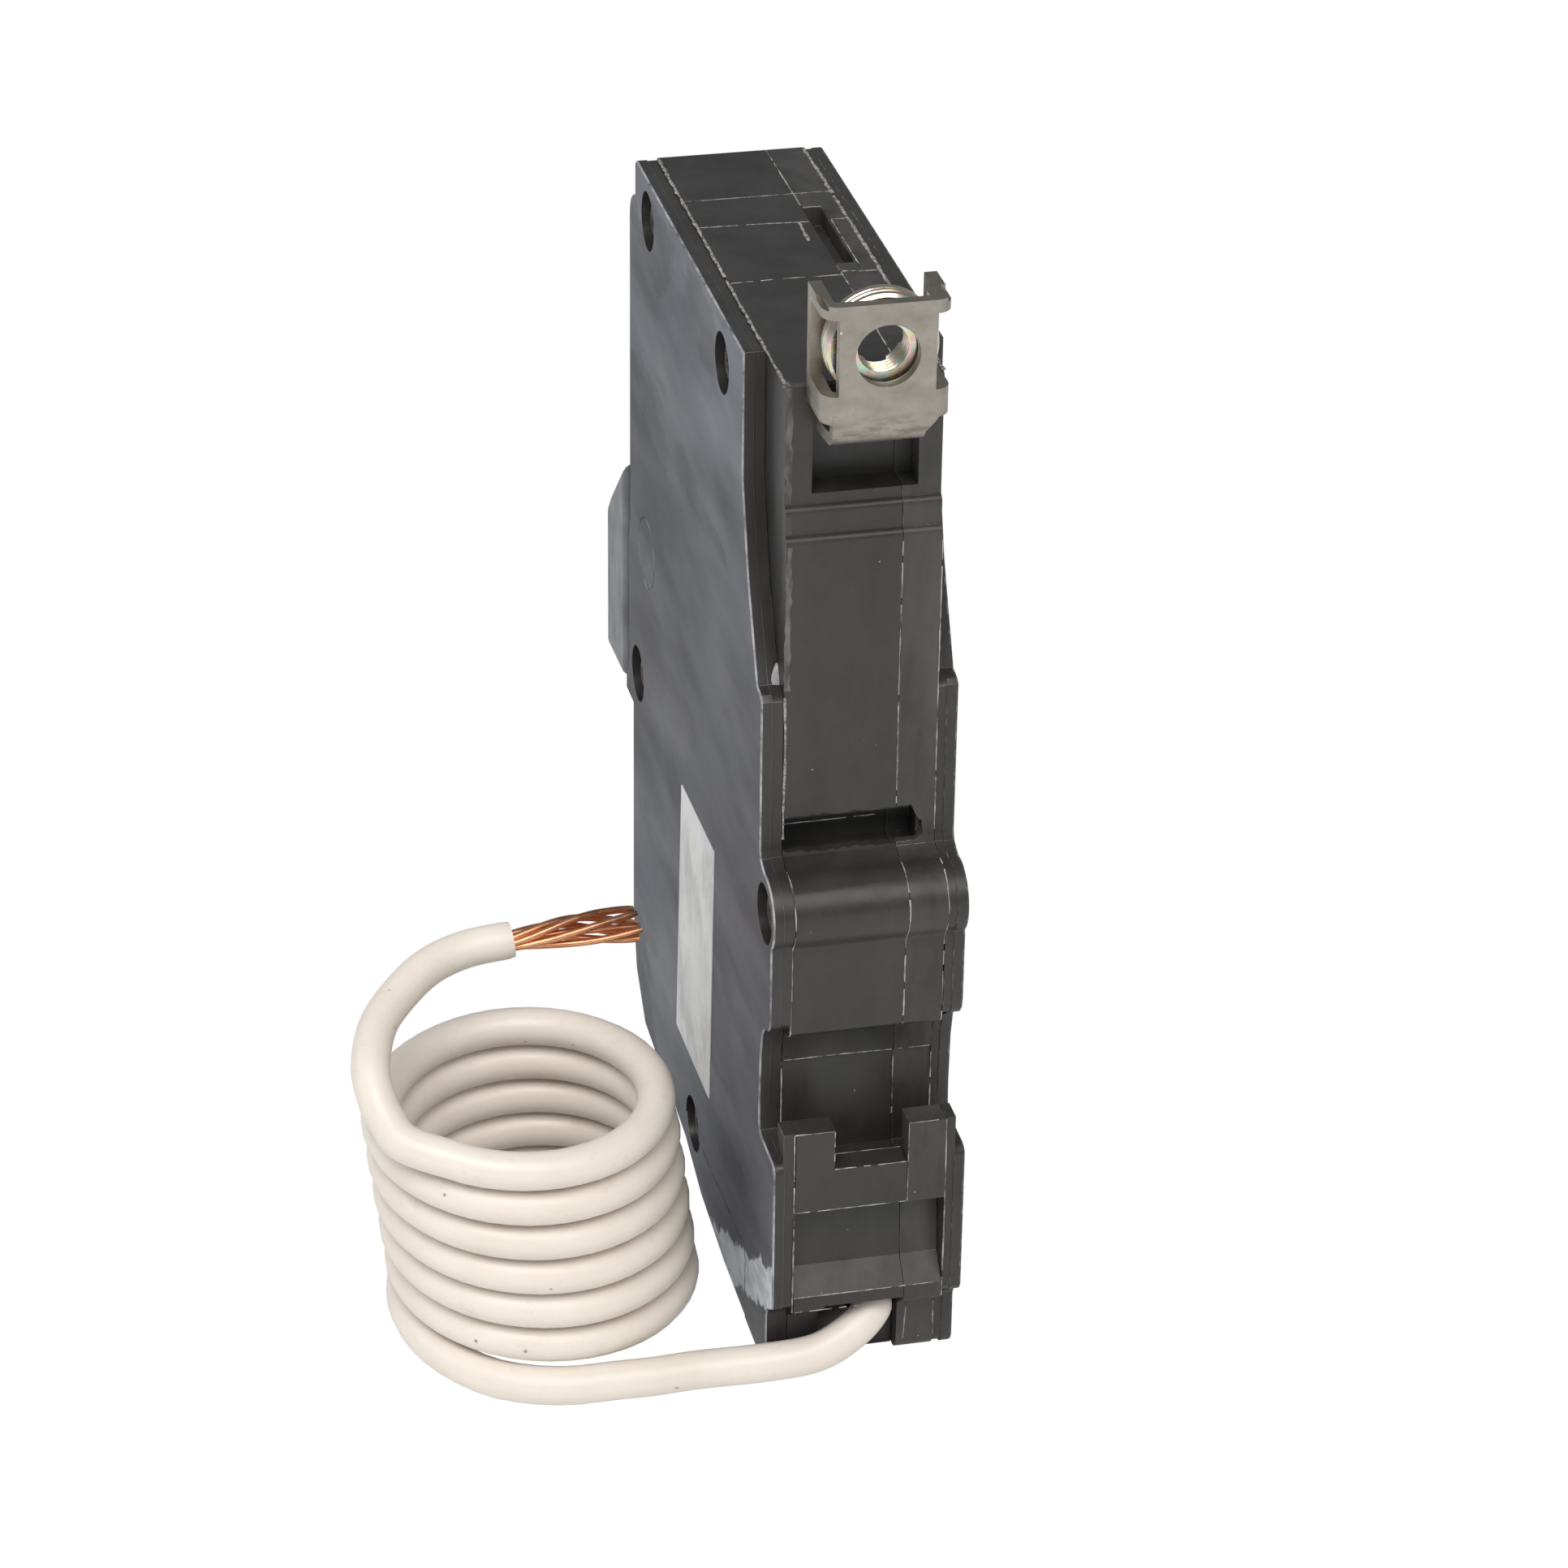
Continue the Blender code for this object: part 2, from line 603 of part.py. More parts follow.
def make_lug(name, y, z, colour):
    """A box lug with its wire bore, a clamp plate that slides in it and the screw that drives the plate."""
    body = block(f"{name}_lug", (LUG_X - 3.7, y - 4.0, z - 4.5), (LUG_X + 3.0, y + 4.0, z + 4.5), colour)
    cut(
        body,
        block(f"{name}_lug_mouth", (LUG_X - 2.7, y - 3.2, z - 6), (LUG_X + 2.2, y + 2.8, z + 6)),
        rod(f"{name}_lug_thread", "Y", (z, LUG_X), y + 1, y + 6, 1.8, sides=12),
    )
    clamp = block(f"{name}_clamp", (LUG_X - 2.3, y + 1.4, z - 3.8), (LUG_X + 1.9, y + 2.4, z + 3.8), ZINC)
    put_origin(clamp, LUG_X, y, z)
    screw = rod(f"{name}_screw", "Y", (z, LUG_X), y + 2.7, y + 6.6, 1.5, ZINC, sides=12)
    join(screw, rod(f"{name}_screw_head", "Y", (z, LUG_X), y + 6.2, y + 8.2, 2.7, sides=20))
    cut(screw, block(f"{name}_screw_slot", (LUG_X - 0.4, y + 7.1, z - 4), (LUG_X + 0.4, y + 9, z + 4)))
    put_origin(screw, LUG_X, y, z)


def make_fault_sensor():
    """Two sensing toroids with both conductors through them, and the board with its parts."""
    for name, low in (("sensing_toroid", -5.6), ("grounding_toroid", -2.0)):
        ring = rod(name, "X", (14.5, 19.0), low, low + 3.2, 8.2, TAPE, sides=28)
        cut(ring, rod(f"{name}_bore", "X", (14.5, 19.0), low - 1, low + 5, 4.2, sides=20))
    hot = [(1.75, 26.0, 20.5), (1.75, 20.0, 19.6), (0.2, 16.6, 19.0), (-5.6, 16.6, 19.0), (-6.35, 19.0, 20.5)]
    tube("hot_conductor", smooth_path(hot + [(-6.35, 27.5, 24.0)], 4), 0.9, COPPER, resolution=1)
    neutral = [(1.75, 5.4, 9.0), (1.75, 9.5, 17.0), (0.2, 12.4, 19.0), (-5.6, 12.4, 19.0), (-6.35, 14.5, 21.5)]
    tube("neutral_conductor", smooth_path(neutral + [(-6.35, 38.0, 29.0)], 4), 0.9, WHITE_PLASTIC, resolution=1)
    block("circuit_board", (4.3, 9.0, 12.0), (5.1, 54.5, 62.0), BOARD)
    block("sense_chip", (5.4, 24.0, 32.0), (6.8, 30.0, 41.0), DARK_PLASTIC)
    block("thyristor", (5.4, 38.0, 46.0), (7.0, 43.0, 51.0), DARK_PLASTIC)
    rod("varistor", "X", (44.0, 26.0), 5.4, 7.1, 5.0, ((0.05, 0.12, 0.35), 0.4, 0.0), sides=24)
    rod("filter_capacitor", "Z", (6.3, 17.0), 42.0, 52.0, 0.95, SILVER, sides=16)
    rod("test_resistor", "Z", (6.3, 50.5), 50.0, 57.0, 0.85, TAPE, sides=12)


def make_solenoid():
    """The trip solenoid: a steel frame, its winding and the plunger that lifts the trip lever."""
    x, y = -2.1, 47.5
    frame = block("solenoid_frame", (x - 3.6, y - 4.4, 68.4), (x + 3.6, y + 4.4, 83.6), STEEL)
    cut(
        frame,
        block("frame_inside", (x - 9, y - 3.5, 69.4), (x + 9, y + 3.5, 82.6)),
        rod("frame_bore", "Z", (x, y), 60, 90, 1.6, sides=16),
    )
    winding = rod("solenoid_coil", "Z", (x, y), 69.8, 82.2, 3.1, COPPER, sides=24)
    cut(winding, rod("winding_bore", "Z", (x, y), 60, 90, 1.6, sides=16))
    plunger = rod("solenoid_plunger", "Z", (x, y), 65.6, 86.4, 1.25, ZINC, sides=16)
    join(plunger, rod("plunger_collar", "Z", (x, y), 63.1, 66.0, 2.2, sides=16))
    put_origin(plunger, x, y, 76.0)


def make_test_button():
    """Test button in the nose, its return spring and the leaf that it closes."""
    button = block("test_button", (-4.7, 59.4, 79.9), (1.5, NOSE + 1.6, 88.1), WHITE_PLASTIC)
    join(
        button,
        block("button_flange", (-5.9, 59.0, 78.8), (2.1, 60.1, 89.2)),
        rod("button_stem", "Y", (84.0, -1.6), 56.2, 59.6, 1.2, sides=12),
    )
    put_origin(button, -1.6, 60.0, 84.0)
    coil_spring("button_spring", (-1.6, 58.6, 84.0), (-1.6, 56.0, 84.0), 1.9, 0.4, 3)
    block("test_leaf", (-4.0, 53.6, 78.0), (0.8, 54.0, 92.0), BRASS)


def coil_point(turns_down):
    """A point on the lead's coil, counted in turns down from its top front."""
    angle = math.tau * turns_down - math.pi / 2
    settle = (max(0.0, turns_down - 5.4) / 0.6) ** 2
    radius = COIL_R + 1.6 * settle
    return Vector(
        (
            COIL_CENTRE[0] + COIL_LEAN[0] * turns_down + radius * math.cos(angle),
            COIL_CENTRE[1] + COIL_LEAN[1] * turns_down + radius * math.sin(angle) - 0.9 * settle,
            max(
                COIL_TOP - COIL_PITCH * turns_down + COIL_R * math.sin(angle) * COIL_TILT,
                WIRE_LOW,
            ),
        )
    )


def lead_route():
    """Knots of the free lead: square out of the gland, down to the floor and along it to the coil."""
    return [
        (GLAND[0], -1.5, GLAND[1]),
        (GLAND[0] - 0.15, -2.9, 5.7),
        (-1.0, -4.3, 4.3),
        (-4.6, -4.9, 2.6),
        (-9.5, -4.8, WIRE_LOW + 0.1),
        (-16.5, -4.5, WIRE_LOW),
        (-21.0, -4.7, WIRE_LOW),
        (LEAD_MEETS_COIL_X + 0.15, coil_point(COIL_TURNS).y, WIRE_LOW),
    ]


def least_gap(points, diameter):
    """The smallest clear distance between turns of one tube."""
    gap = math.inf
    for i, a in enumerate(points):
        for b in points[i + 12 :]:
            gap = min(gap, (a - b).length - diameter)
    return gap


def make_lead():
    """The white neutral lead: gland, free stretch, coil and the bared strands at its end."""
    gland = rod("lead_gland", "Y", (GLAND[1], GLAND[0]), -1.1, 4.6, 2.35, DARK_PLASTIC, sides=20)
    put_origin(gland, GLAND[0], 0, GLAND[1])
    top = [
        (-29.8, 21.6, 37.3),
        (-34.6, 21.4, 36.8),
        (-38.7, 19.6, 36.2),
        (-42.3, 16.4, 35.0),
        (-44.7, 13.0, 33.9),
        (-46.0, 8.9, 32.2),
        (-45.9, 6.4, 30.4),
        (-45.2, 4.4, 28.8),
        (-43.7, 1.9, 27.5),
    ]
    rise = smooth_path(top + [tuple(coil_point(-0.08))], 3)[:-1]
    turns = [coil_point(i / 24) for i in range(-2, COIL_TURNS * 24 + 1)]
    coil = rise + turns
    coil.append(Vector((LEAD_MEETS_COIL_X - 0.15, coil[-1].y, WIRE_LOW)))
    tube("pigtail_lead", smooth_path(lead_route(), 3), WIRE_D, INSULATION, resolution=2)
    tube("pigtail_coil", coil, WIRE_D, INSULATION, resolution=1)
    end = coil[0]
    strands = [end + Vector((0.35, 0.05, 0.0)), end + Vector((6.0, 1.0, 0.4)), end + Vector((12.0, 1.6, 0.2))]
    tube("pigtail_strands", smooth_path(strands, 3), 2.3, COPPER, resolution=2)
    length = sum((b - a).length for a, b in zip(coil, coil[1:]))
    print(f"coil: {COIL_TURNS} turns, {length:.0f} mm of wire, least gap {least_gap(coil, WIRE_D):.2f} mm")


make_case()
make_covers()
make_rivets()
make_handle()
make_line_terminal()
make_contact_arm()
make_trip_unit()
make_lug("hot", *HOT_LUG, BRASS)
make_lug("neutral", *NEUTRAL_LUG, SILVER)
make_fault_sensor()
make_solenoid()
make_test_button()
make_lead()
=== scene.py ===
import math
import random

import bmesh
import bpy
from mathutils import Matrix, Vector


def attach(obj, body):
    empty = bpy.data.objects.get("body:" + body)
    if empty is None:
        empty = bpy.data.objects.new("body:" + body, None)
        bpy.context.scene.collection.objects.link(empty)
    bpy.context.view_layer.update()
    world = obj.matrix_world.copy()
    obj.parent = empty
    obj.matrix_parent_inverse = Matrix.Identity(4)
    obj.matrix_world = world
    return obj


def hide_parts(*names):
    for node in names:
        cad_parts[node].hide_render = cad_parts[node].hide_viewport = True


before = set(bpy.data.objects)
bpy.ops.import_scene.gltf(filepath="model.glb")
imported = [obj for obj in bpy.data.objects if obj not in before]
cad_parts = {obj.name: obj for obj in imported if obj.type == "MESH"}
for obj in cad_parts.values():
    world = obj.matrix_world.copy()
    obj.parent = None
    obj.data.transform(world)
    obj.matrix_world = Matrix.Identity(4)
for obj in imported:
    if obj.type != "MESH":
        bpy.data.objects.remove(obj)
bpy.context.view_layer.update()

scene = bpy.context.scene

# ---------------------------------------------------------------------------------------------
# The camera stands a good half metre off the mounting side, to the left and well above, and a
# long lens looks down at the breaker. Turn, dip and roll come from the case's own seams.
TURN, DIP, ROLL = 0.2360001, 0.4960767, 0.0148531
ahead = Vector((math.sin(TURN) * math.cos(DIP), math.cos(TURN) * math.cos(DIP), -math.sin(DIP)))
level = Vector((math.cos(TURN), -math.sin(TURN), 0))
rise = level.cross(ahead)
right = math.cos(ROLL) * level + math.sin(ROLL) * rise
lens = bpy.data.cameras.new("camera")
lens.lens = 121.885
lens.sensor_width = 36
lens.clip_start = 0.01
camera = bpy.data.objects.new("camera", lens)
camera.matrix_world = Matrix.Translation((-0.109519, -0.458710, 0.299307)) @ Matrix(
    (right, right.cross(ahead), -ahead)
).transposed().to_4x4()
scene.collection.objects.link(camera)
scene.camera = camera

# ---------------------------------------------------------------------------------------------
# The table and the studio: a matt white board, a pale room and three large soft lamps. The camera
# sees board and room as pure white, as a picture cut out on white has them.
floor = bpy.data.objects.new("table", bpy.data.meshes.new("table"))
table_corners = [(x, y, -5e-5) for x, y in ((-2, -2), (2, -2), (2, 2), (-2, 2))]
floor.data.from_pydata(table_corners, [], [(0, 1, 2, 3)])
scene.collection.objects.link(floor)
scene.view_settings.view_transform = "Standard"


def seen_white(tree, plain):
    """Shows plain white to the camera, whatever light falls on the surface."""
    on_surface = plain.bl_idname == "ShaderNodeBsdfDiffuse"
    path = tree.nodes.new("ShaderNodeLightPath")
    white = tree.nodes.new("ShaderNodeEmission" if on_surface else "ShaderNodeBackground")
    mix = tree.nodes.new("ShaderNodeMixShader")
    sources = path.outputs["Is Camera Ray"], plain.outputs[0], white.outputs[0]
    for source, socket in zip(sources, mix.inputs):
        tree.links.new(source, socket)
    return mix


board = bpy.data.materials.new("table_white")
board.use_nodes = True
board.node_tree.nodes.clear()
matt = board.node_tree.nodes.new("ShaderNodeBsdfDiffuse")
matt.inputs["Color"].default_value = (0.9, 0.9, 0.9, 1)
sheet = board.node_tree.nodes.new("ShaderNodeOutputMaterial")
board.node_tree.links.new(seen_white(board.node_tree, matt).outputs[0], sheet.inputs["Surface"])
floor.data.materials.append(board)

# In reflections the room is half as bright, which keeps the black plastic black.
ROOM, ROOM_IN_GLOSS = 0.48, 0.24
room = bpy.data.worlds.new("studio")
room.use_nodes = True
room.node_tree.nodes.clear()
soft = room.node_tree.nodes.new("ShaderNodeBackground")
soft.inputs["Color"].default_value = (0.95, 0.97, 1.0, 1)
in_gloss = room.node_tree.nodes.new("ShaderNodeLightPath").outputs["Is Glossy Ray"]
dimmer = room.node_tree.nodes.new("ShaderNodeMath")
dimmer.operation = "MULTIPLY_ADD"
dimmer.inputs[1].default_value = ROOM_IN_GLOSS - ROOM
dimmer.inputs[2].default_value = ROOM
room.node_tree.links.new(in_gloss, dimmer.inputs[0])
room.node_tree.links.new(dimmer.outputs[0], soft.inputs["Strength"])
wall = room.node_tree.nodes.new("ShaderNodeOutputWorld")
room.node_tree.links.new(seen_white(room.node_tree, soft).outputs[0], wall.inputs["Surface"])
scene.world = room

for name, power, size, place, tint in (
    ("key_lamp", 3.5, 0.42, (-0.25, -0.42, 0.72), (1.0, 0.97, 0.94)),
    ("front_lamp", 1.9, 0.45, (0.16, -0.52, 0.60), (1.0, 0.97, 0.95)),
    ("side_lamp", 1.1, 0.5, (-0.7, 0.1, 0.38), (0.93, 0.96, 1.0)),
):
    lamp = bpy.data.lights.new(name, "AREA")
    lamp.energy = power
    lamp.size = size
    lamp.color = tint
    holder = bpy.data.objects.new(name, lamp)
    holder.location = place
    holder.rotation_euler = (Vector((0, 0, 0.05)) - Vector(place)).to_track_quat("-Z", "Y").to_euler()
    scene.collection.objects.link(holder)

# ---------------------------------------------------------------------------------------------
# Neutral lead: 12 gauge stranded copper in cream thermoplastic, 3.8 mm thick. It leaves the load
# end, lies on the table and is wound into six loose turns, as it comes from the maker.
DATUM = 35.4
TO_METRES = Matrix.Scale(0.001, 4) @ Matrix.Translation((0, -DATUM, 0))


class Finish:
    """One material, mixed node by node in the piece's own millimetres."""

    def __init__(self, name, metallic=0.0, specular=0.5):
        self.material = bpy.data.materials.new(name)
        self.material.use_nodes = True
        self.tree = self.material.node_tree
        self.shader = self.tree.nodes["Principled BSDF"]
        self.shader.inputs["Metallic"].default_value = metallic
        self.shader.inputs["Specular IOR Level"].default_value = specular
        coordinates = self.tree.nodes.new("ShaderNodeTexCoord").outputs["Object"]
        self.mm = self.put("ShaderNodeVectorMath", "MULTIPLY_ADD", coordinates, (1000,) * 3, (0, DATUM, 0))
        split = self.tree.nodes.new("ShaderNodeSeparateXYZ")
        self.tree.links.new(self.mm, split.inputs[0])
        self.x, self.y, self.z = split.outputs
        self.relief = None

    def feed(self, socket, value):
        if isinstance(value, bpy.types.NodeSocket):
            self.tree.links.new(value, socket)
        elif socket.type == "RGBA":
            socket.default_value = (*value, 1)
        else:
            socket.default_value = value

    def put(self, kind, operation, *values):
        node = self.tree.nodes.new(kind)
        node.operation = operation
        for socket, value in zip(node.inputs, values):
            self.feed(socket, value)
        return node.outputs[0]

    def sum(self, operation, *values):
        return self.put("ShaderNodeMath", operation, *values)

    def grain(self, size, detail=3.0, rough=0.6, shift=0.0):
        """Cloudy noise, with its grain's size in mm along each axis."""
        size = (size,) * 3 if isinstance(size, (int, float)) else size
        scale, offset = tuple(1 / s for s in size), (shift, shift * 1.7, -shift)
        where = self.put("ShaderNodeVectorMath", "MULTIPLY_ADD", self.mm, scale, offset)
        node = self.tree.nodes.new("ShaderNodeTexNoise")
        self.feed(node.inputs["Vector"], where)
        node.inputs["Scale"].default_value = 1
        node.inputs["Detail"].default_value = detail
        node.inputs["Roughness"].default_value = rough
        return node.outputs["Fac"]

    def step(self, value, low, high, start=0.0, end=1.0):
        node = self.tree.nodes.new("ShaderNodeMapRange")
        for socket, given in zip(node.inputs, (value, low, high, start, end)):
            self.feed(socket, given)
        return node.outputs[0]

    def band(self, value, low, high, soft):
        """1 between two values, fading to 0 outside them."""
        return self.sum(
            "MULTIPLY", self.step(value, low - soft, low + soft), self.step(value, high + soft, high - soft)
        )

    def specks(self, cell, reach, share, shift=0.0):
        """Round specks on a jittered lattice of this cell in mm, of which only a share are kept."""
        scale, offset = (1 / cell,) * 3, (shift, -shift, shift)
        where = self.put("ShaderNodeVectorMath", "MULTIPLY_ADD", self.mm, scale, offset)
        node = self.tree.nodes.new("ShaderNodeTexVoronoi")
        self.feed(node.inputs["Vector"], where)
        node.inputs["Scale"].default_value = 1
        split = self.tree.nodes.new("ShaderNodeSeparateColor")
        self.tree.links.new(node.outputs["Color"], split.inputs[0])
        kept = self.step(split.outputs[0], share, share - 0.02)
        return self.sum("MULTIPLY", self.step(node.outputs["Distance"], reach, reach * 0.5), kept)

    def scratches(self, size, width, share, shift=0.0):
        """Thin lines along the long side of a stretched grain, broken up by a second one."""
        line = self.sum("ABSOLUTE", self.sum("SUBTRACT", self.grain(size, 1.0, 0.5, shift), 0.5))
        patches = self.grain(tuple(s * 2.5 for s in size), 2.0, 0.5, shift + 9)
        kept = self.step(patches, 1 - share, 1.08 - share)
        return self.sum("MULTIPLY", self.step(line, width, width * 0.3), kept)

    def blend(self, share, first, second):
        node = self.tree.nodes.new("ShaderNodeMix")
        node.data_type = "RGBA"
        self.feed(node.inputs[0], share)
        self.feed(node.inputs[6], first)
        self.feed(node.inputs[7], second)
        return node.outputs[2]

    def bump(self, height, depth):
        node = self.tree.nodes.new("ShaderNodeBump")
        node.inputs["Distance"].default_value = depth * 0.001
        self.feed(node.inputs["Height"], height)
        if self.relief:
            self.tree.links.new(self.relief, node.inputs["Normal"])
        self.relief = node.outputs[0]

    def done(self, colour, roughness):
        self.feed(self.shader.inputs["Base Color"], colour)
        self.feed(self.shader.inputs["Roughness"], roughness)
        if self.relief:
            self.tree.links.new(self.relief, self.shader.inputs["Normal"])
        return self.material


def insulation():
    """Cream thermoplastic, yellowed in patches, with fine handling dirt and a soft gloss."""
    f = Finish("cream_insulation", specular=0.45)
    age = f.step(f.grain(9, 3), 0.35, 0.7)
    cream = f.blend(age, (0.76, 0.705, 0.63), (0.71, 0.645, 0.56))
    dirt = f.sum("MULTIPLY", f.step(f.grain((2.2, 2.2, 1.2), 5, 0.7, 3), 0.58, 0.78), 0.35)
    cream = f.blend(dirt, cream, (0.50, 0.44, 0.35))
    cream = f.blend(f.specks(2.4, 0.10, 0.22), cream, (0.30, 0.26, 0.20))
    f.bump(f.grain(1.6, 4, 0.55), 0.035)
    f.bump(f.grain(0.25, 2), 0.006)
    return f.done(cream, f.step(f.grain(3.5, 3), 0.3, 0.7, 0.30, 0.42))


def catmull(knots, per_span):
    """Points on a smooth curve through the knots."""
    knots = [Vector(knot) for knot in knots]
    padded = [2 * knots[0] - knots[1], *knots, 2 * knots[-1] - knots[-2]]
    points = []
    for a, b, c, d in zip(padded, padded[1:], padded[2:], padded[3:]):
        for i in range(per_span):
            t = i / per_span
            bend, twist = 2 * a - 5 * b + 4 * c - d, 3 * b - a - 3 * c + d
            points.append(0.5 * (2 * b + (c - a) * t + bend * t**2 + twist * t**3))
    return points + [knots[-1]]


def coil_point(turns_down):
    """A point on the wound part, counted in turns down from its top front."""
    angle = math.tau * turns_down - math.pi / 2
    settle = (max(0.0, turns_down - 5.4) / 0.6) ** 2
    radius = 13.6 + 1.6 * settle
    return Vector(
        (
            -31.6 + 0.522 * turns_down + radius * math.cos(angle),
            10.4 + 0.181 * turns_down + radius * math.sin(angle) - 0.9 * settle,
            max(27.0 - 4.114 * turns_down + 13.6 * math.sin(angle) * 0.064, 1.95),
        )
    )


def wire(name, runs, thickness, finish, sides=6):
    """Round wires along rows of points in millimetres, each row with its own radius factors."""
    curve = bpy.data.curves.new(name, "CURVE")
    curve.dimensions = "3D"
    curve.bevel_depth = thickness / 2000
    curve.bevel_resolution = sides
    curve.use_fill_caps = True
    for points, radii in runs:
        spline = curve.splines.new("POLY")
        spline.points.add(len(points) - 1)
        spline.use_smooth = True
        for knot, point, radius in zip(spline.points, points, radii):
            knot.co = (*(TO_METRES @ Vector(point)), 1)
            knot.radius = radius
    curve.materials.append(finish)
    obj = bpy.data.objects.new(name, curve)
    scene.collection.objects.link(obj)
    return obj


lead_knots = [
    (1.4, -1.5, 6.1),
    (1.25, -2.9, 5.7),
    (-1.0, -4.3, 4.3),
    (-4.6, -4.9, 2.6),
    (-9.5, -4.8, 2.05),
    (-16.5, -4.5, 1.95),
    (-21.0, -4.7, 1.95),
    (-24.6, coil_point(6).y, 1.95),
]
free_knots = [
    (-29.8, 21.6, 37.3),
    (-34.6, 21.4, 36.8),
    (-38.7, 19.6, 36.2),
    (-42.3, 16.4, 35.0),
    (-44.7, 13.0, 33.9),
    (-46.0, 8.9, 32.2),
    (-45.9, 6.4, 30.4),
    (-45.2, 4.4, 28.8),
    (-43.7, 1.9, 27.5),
    tuple(coil_point(-0.08)),
]
lead_path = catmull(lead_knots, 6)
lead_path += [coil_point(i / 48) for i in range(6 * 48, -5, -1)]
lead_path += catmull(free_knots, 8)[-2::-1]
ends = [1.0] * (len(lead_path) - 2) + [0.99, 0.94]
neutral_lead = wire("neutral_lead", [(lead_path, ends)], 3.8, insulation())
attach(neutral_lead, "case")
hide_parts("pigtail_lead", "pigtail_coil")

# ---------------------------------------------------------------------------------------------
# Bared end of the lead: seven bright copper strands, stripped by the maker. They keep a third of
# a turn of their lay and open out towards their cut ends.
end = lead_path[-1]
out = Vector((1, 0.14, 0.0)).normalized()


def strand(number, dice):
    """One strand's points, from inside the insulation to its cut end."""
    side = Vector((0, 1, 0)) - out * out.y
    side.normalize()
    over = out.cross(side)
    points = []
    length = 14.7 + dice.uniform(-0.5, 0.4)
    for i in range(25):
        t = i / 24
        spread = 0.75 + 0.62 * math.sin(min(1.0, t * 1.25) * math.pi * 0.55)
        if number == 0:
            spread = 0.12 + 0.2 * t
        angle = math.tau * (number / 6) - 2.3 * t + 0.25 * math.sin(3 * t + number)
        flat = 0.72 + 0.5 * t
        along = -1.4 + length * t
        sag = Vector((0, 0, -0.25 - 1.0 * t * t + 0.55 * t))
        aside = math.cos(angle) * 0.9 * side + math.sin(angle) * flat * over
        points.append(end + out * along + spread * aside + sag)
    return points


def bare_copper():
    """Annealed copper wire, drawn bright, with pink and brown tarnish along it."""
    f = Finish("bare_copper", metallic=1.0)
    tarnish = f.step(f.grain((3.0, 0.8, 0.8), 3), 0.35, 0.7)
    tone = f.blend(tarnish, (0.93, 0.47, 0.27), (0.74, 0.31, 0.15))
    tone = f.blend(f.step(f.grain(0.6, 2, 0.5, 5), 0.6, 0.75, 0, 0.6), tone, (0.90, 0.55, 0.36))
    f.bump(f.grain((4.0, 0.12, 0.12), 2), 0.004)
    return f.done(tone, f.step(f.grain(1.2, 2), 0.3, 0.7, 0.24, 0.42))


dice = random.Random(12)
runs = [(strand(number, dice), [1.0] * 24 + [0.85]) for number in range(7)]
copper_strands = wire("copper_strands", runs, 0.74, bare_copper(), 3)
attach(copper_strands, "case")
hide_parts("pigtail_strands")

# ---------------------------------------------------------------------------------------------
# Gland: a short moulded collar, caught between the two middle layers. It tapers towards the lead
# and keeps its insulation off the edge of the case.


def placed(axis, along, u, v):
    """A point from its place along an axis and its two places across it."""
    return {"X": (along, u, v), "Y": (v, along, u), "Z": (u, v, along)}[axis]


def lathe(profile, axis, centre, sides=48):
    """A turned solid: (place along the axis, radius) pairs, closed into a ring."""
    shape = bmesh.new()
    rings = []
    for along, radius in profile:
        ring = []
        for i in range(sides):
            angle = math.tau * i / sides
            point = placed(axis, along, radius * math.cos(angle), radius * math.sin(angle))
            ring.append(shape.verts.new(Vector(point) + Vector(centre)))
        rings.append(ring)
    for a, b in zip(rings, rings[1:] + rings[:1]):
        for i in range(sides):
            j = (i + 1) % sides
            shape.faces.new((a[i], a[j], b[j], b[i]))
    bmesh.ops.recalc_face_normals(shape, faces=shape.faces)
    return shape


def piece(name, shape, finishes, angle=30):
    """A bmesh drawn in millimetres becomes an object of the scene, smooth up to an angle."""
    mesh = bpy.data.meshes.new(name)
    shape.to_mesh(mesh)
    shape.free()
    mesh.transform(TO_METRES)
    for finish in finishes:
        mesh.materials.append(finish)
    mesh.shade_smooth()
    mesh.set_sharp_from_angle(angle=math.radians(angle))
    obj = bpy.data.objects.new(name, mesh)
    scene.collection.objects.link(obj)
    return obj


def soft_black():
    """Black vinyl, dull, with a little dust in its pores."""
    f = Finish("gland_vinyl")
    tone = f.blend(f.step(f.grain(1.1, 4), 0.4, 0.75), (0.020, 0.019, 0.018), (0.055, 0.052, 0.048))
    f.bump(f.grain(0.4, 3), 0.02)
    return f.done(tone, f.step(f.grain(2, 3), 0.3, 0.7, 0.45, 0.62))


gland_profile = [(4.4, 1.95), (4.4, 2.25), (0.6, 2.35), (-0.6, 2.3), (-1.5, 2.1)]
gland_profile += [(-1.75, 1.98), (-1.75, 1.9)]
gland = piece("lead_gland_collar", lathe(gland_profile, "Y", (1.4, 0, 6.1)), [soft_black()], 40)
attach(gland, "case")
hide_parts("lead_gland")

# ---------------------------------------------------------------------------------------------
# Main case layer: the deep middle moulding of black phenolic, 11 mm thick, open on one side. Its
# mounting side holds the rail's hook and pocket, a broken-out slot and the terminal's window.
rivet_places = [(53.63, 98.57), (19.8, 98.05), (58.3, 46.05), (-0.35, 50.15), (30.7, 7.75)]
MAIN = (-7.28, 3.73)


def bow(centre, radius, start, stop, steps):
    """Points of a round, from one angle to another."""
    angles = [math.radians(start + (stop - start) * i / steps) for i in range(steps + 1)]
    return [(centre[0] + radius * math.cos(a), centre[1] + radius * math.sin(a)) for a in angles]


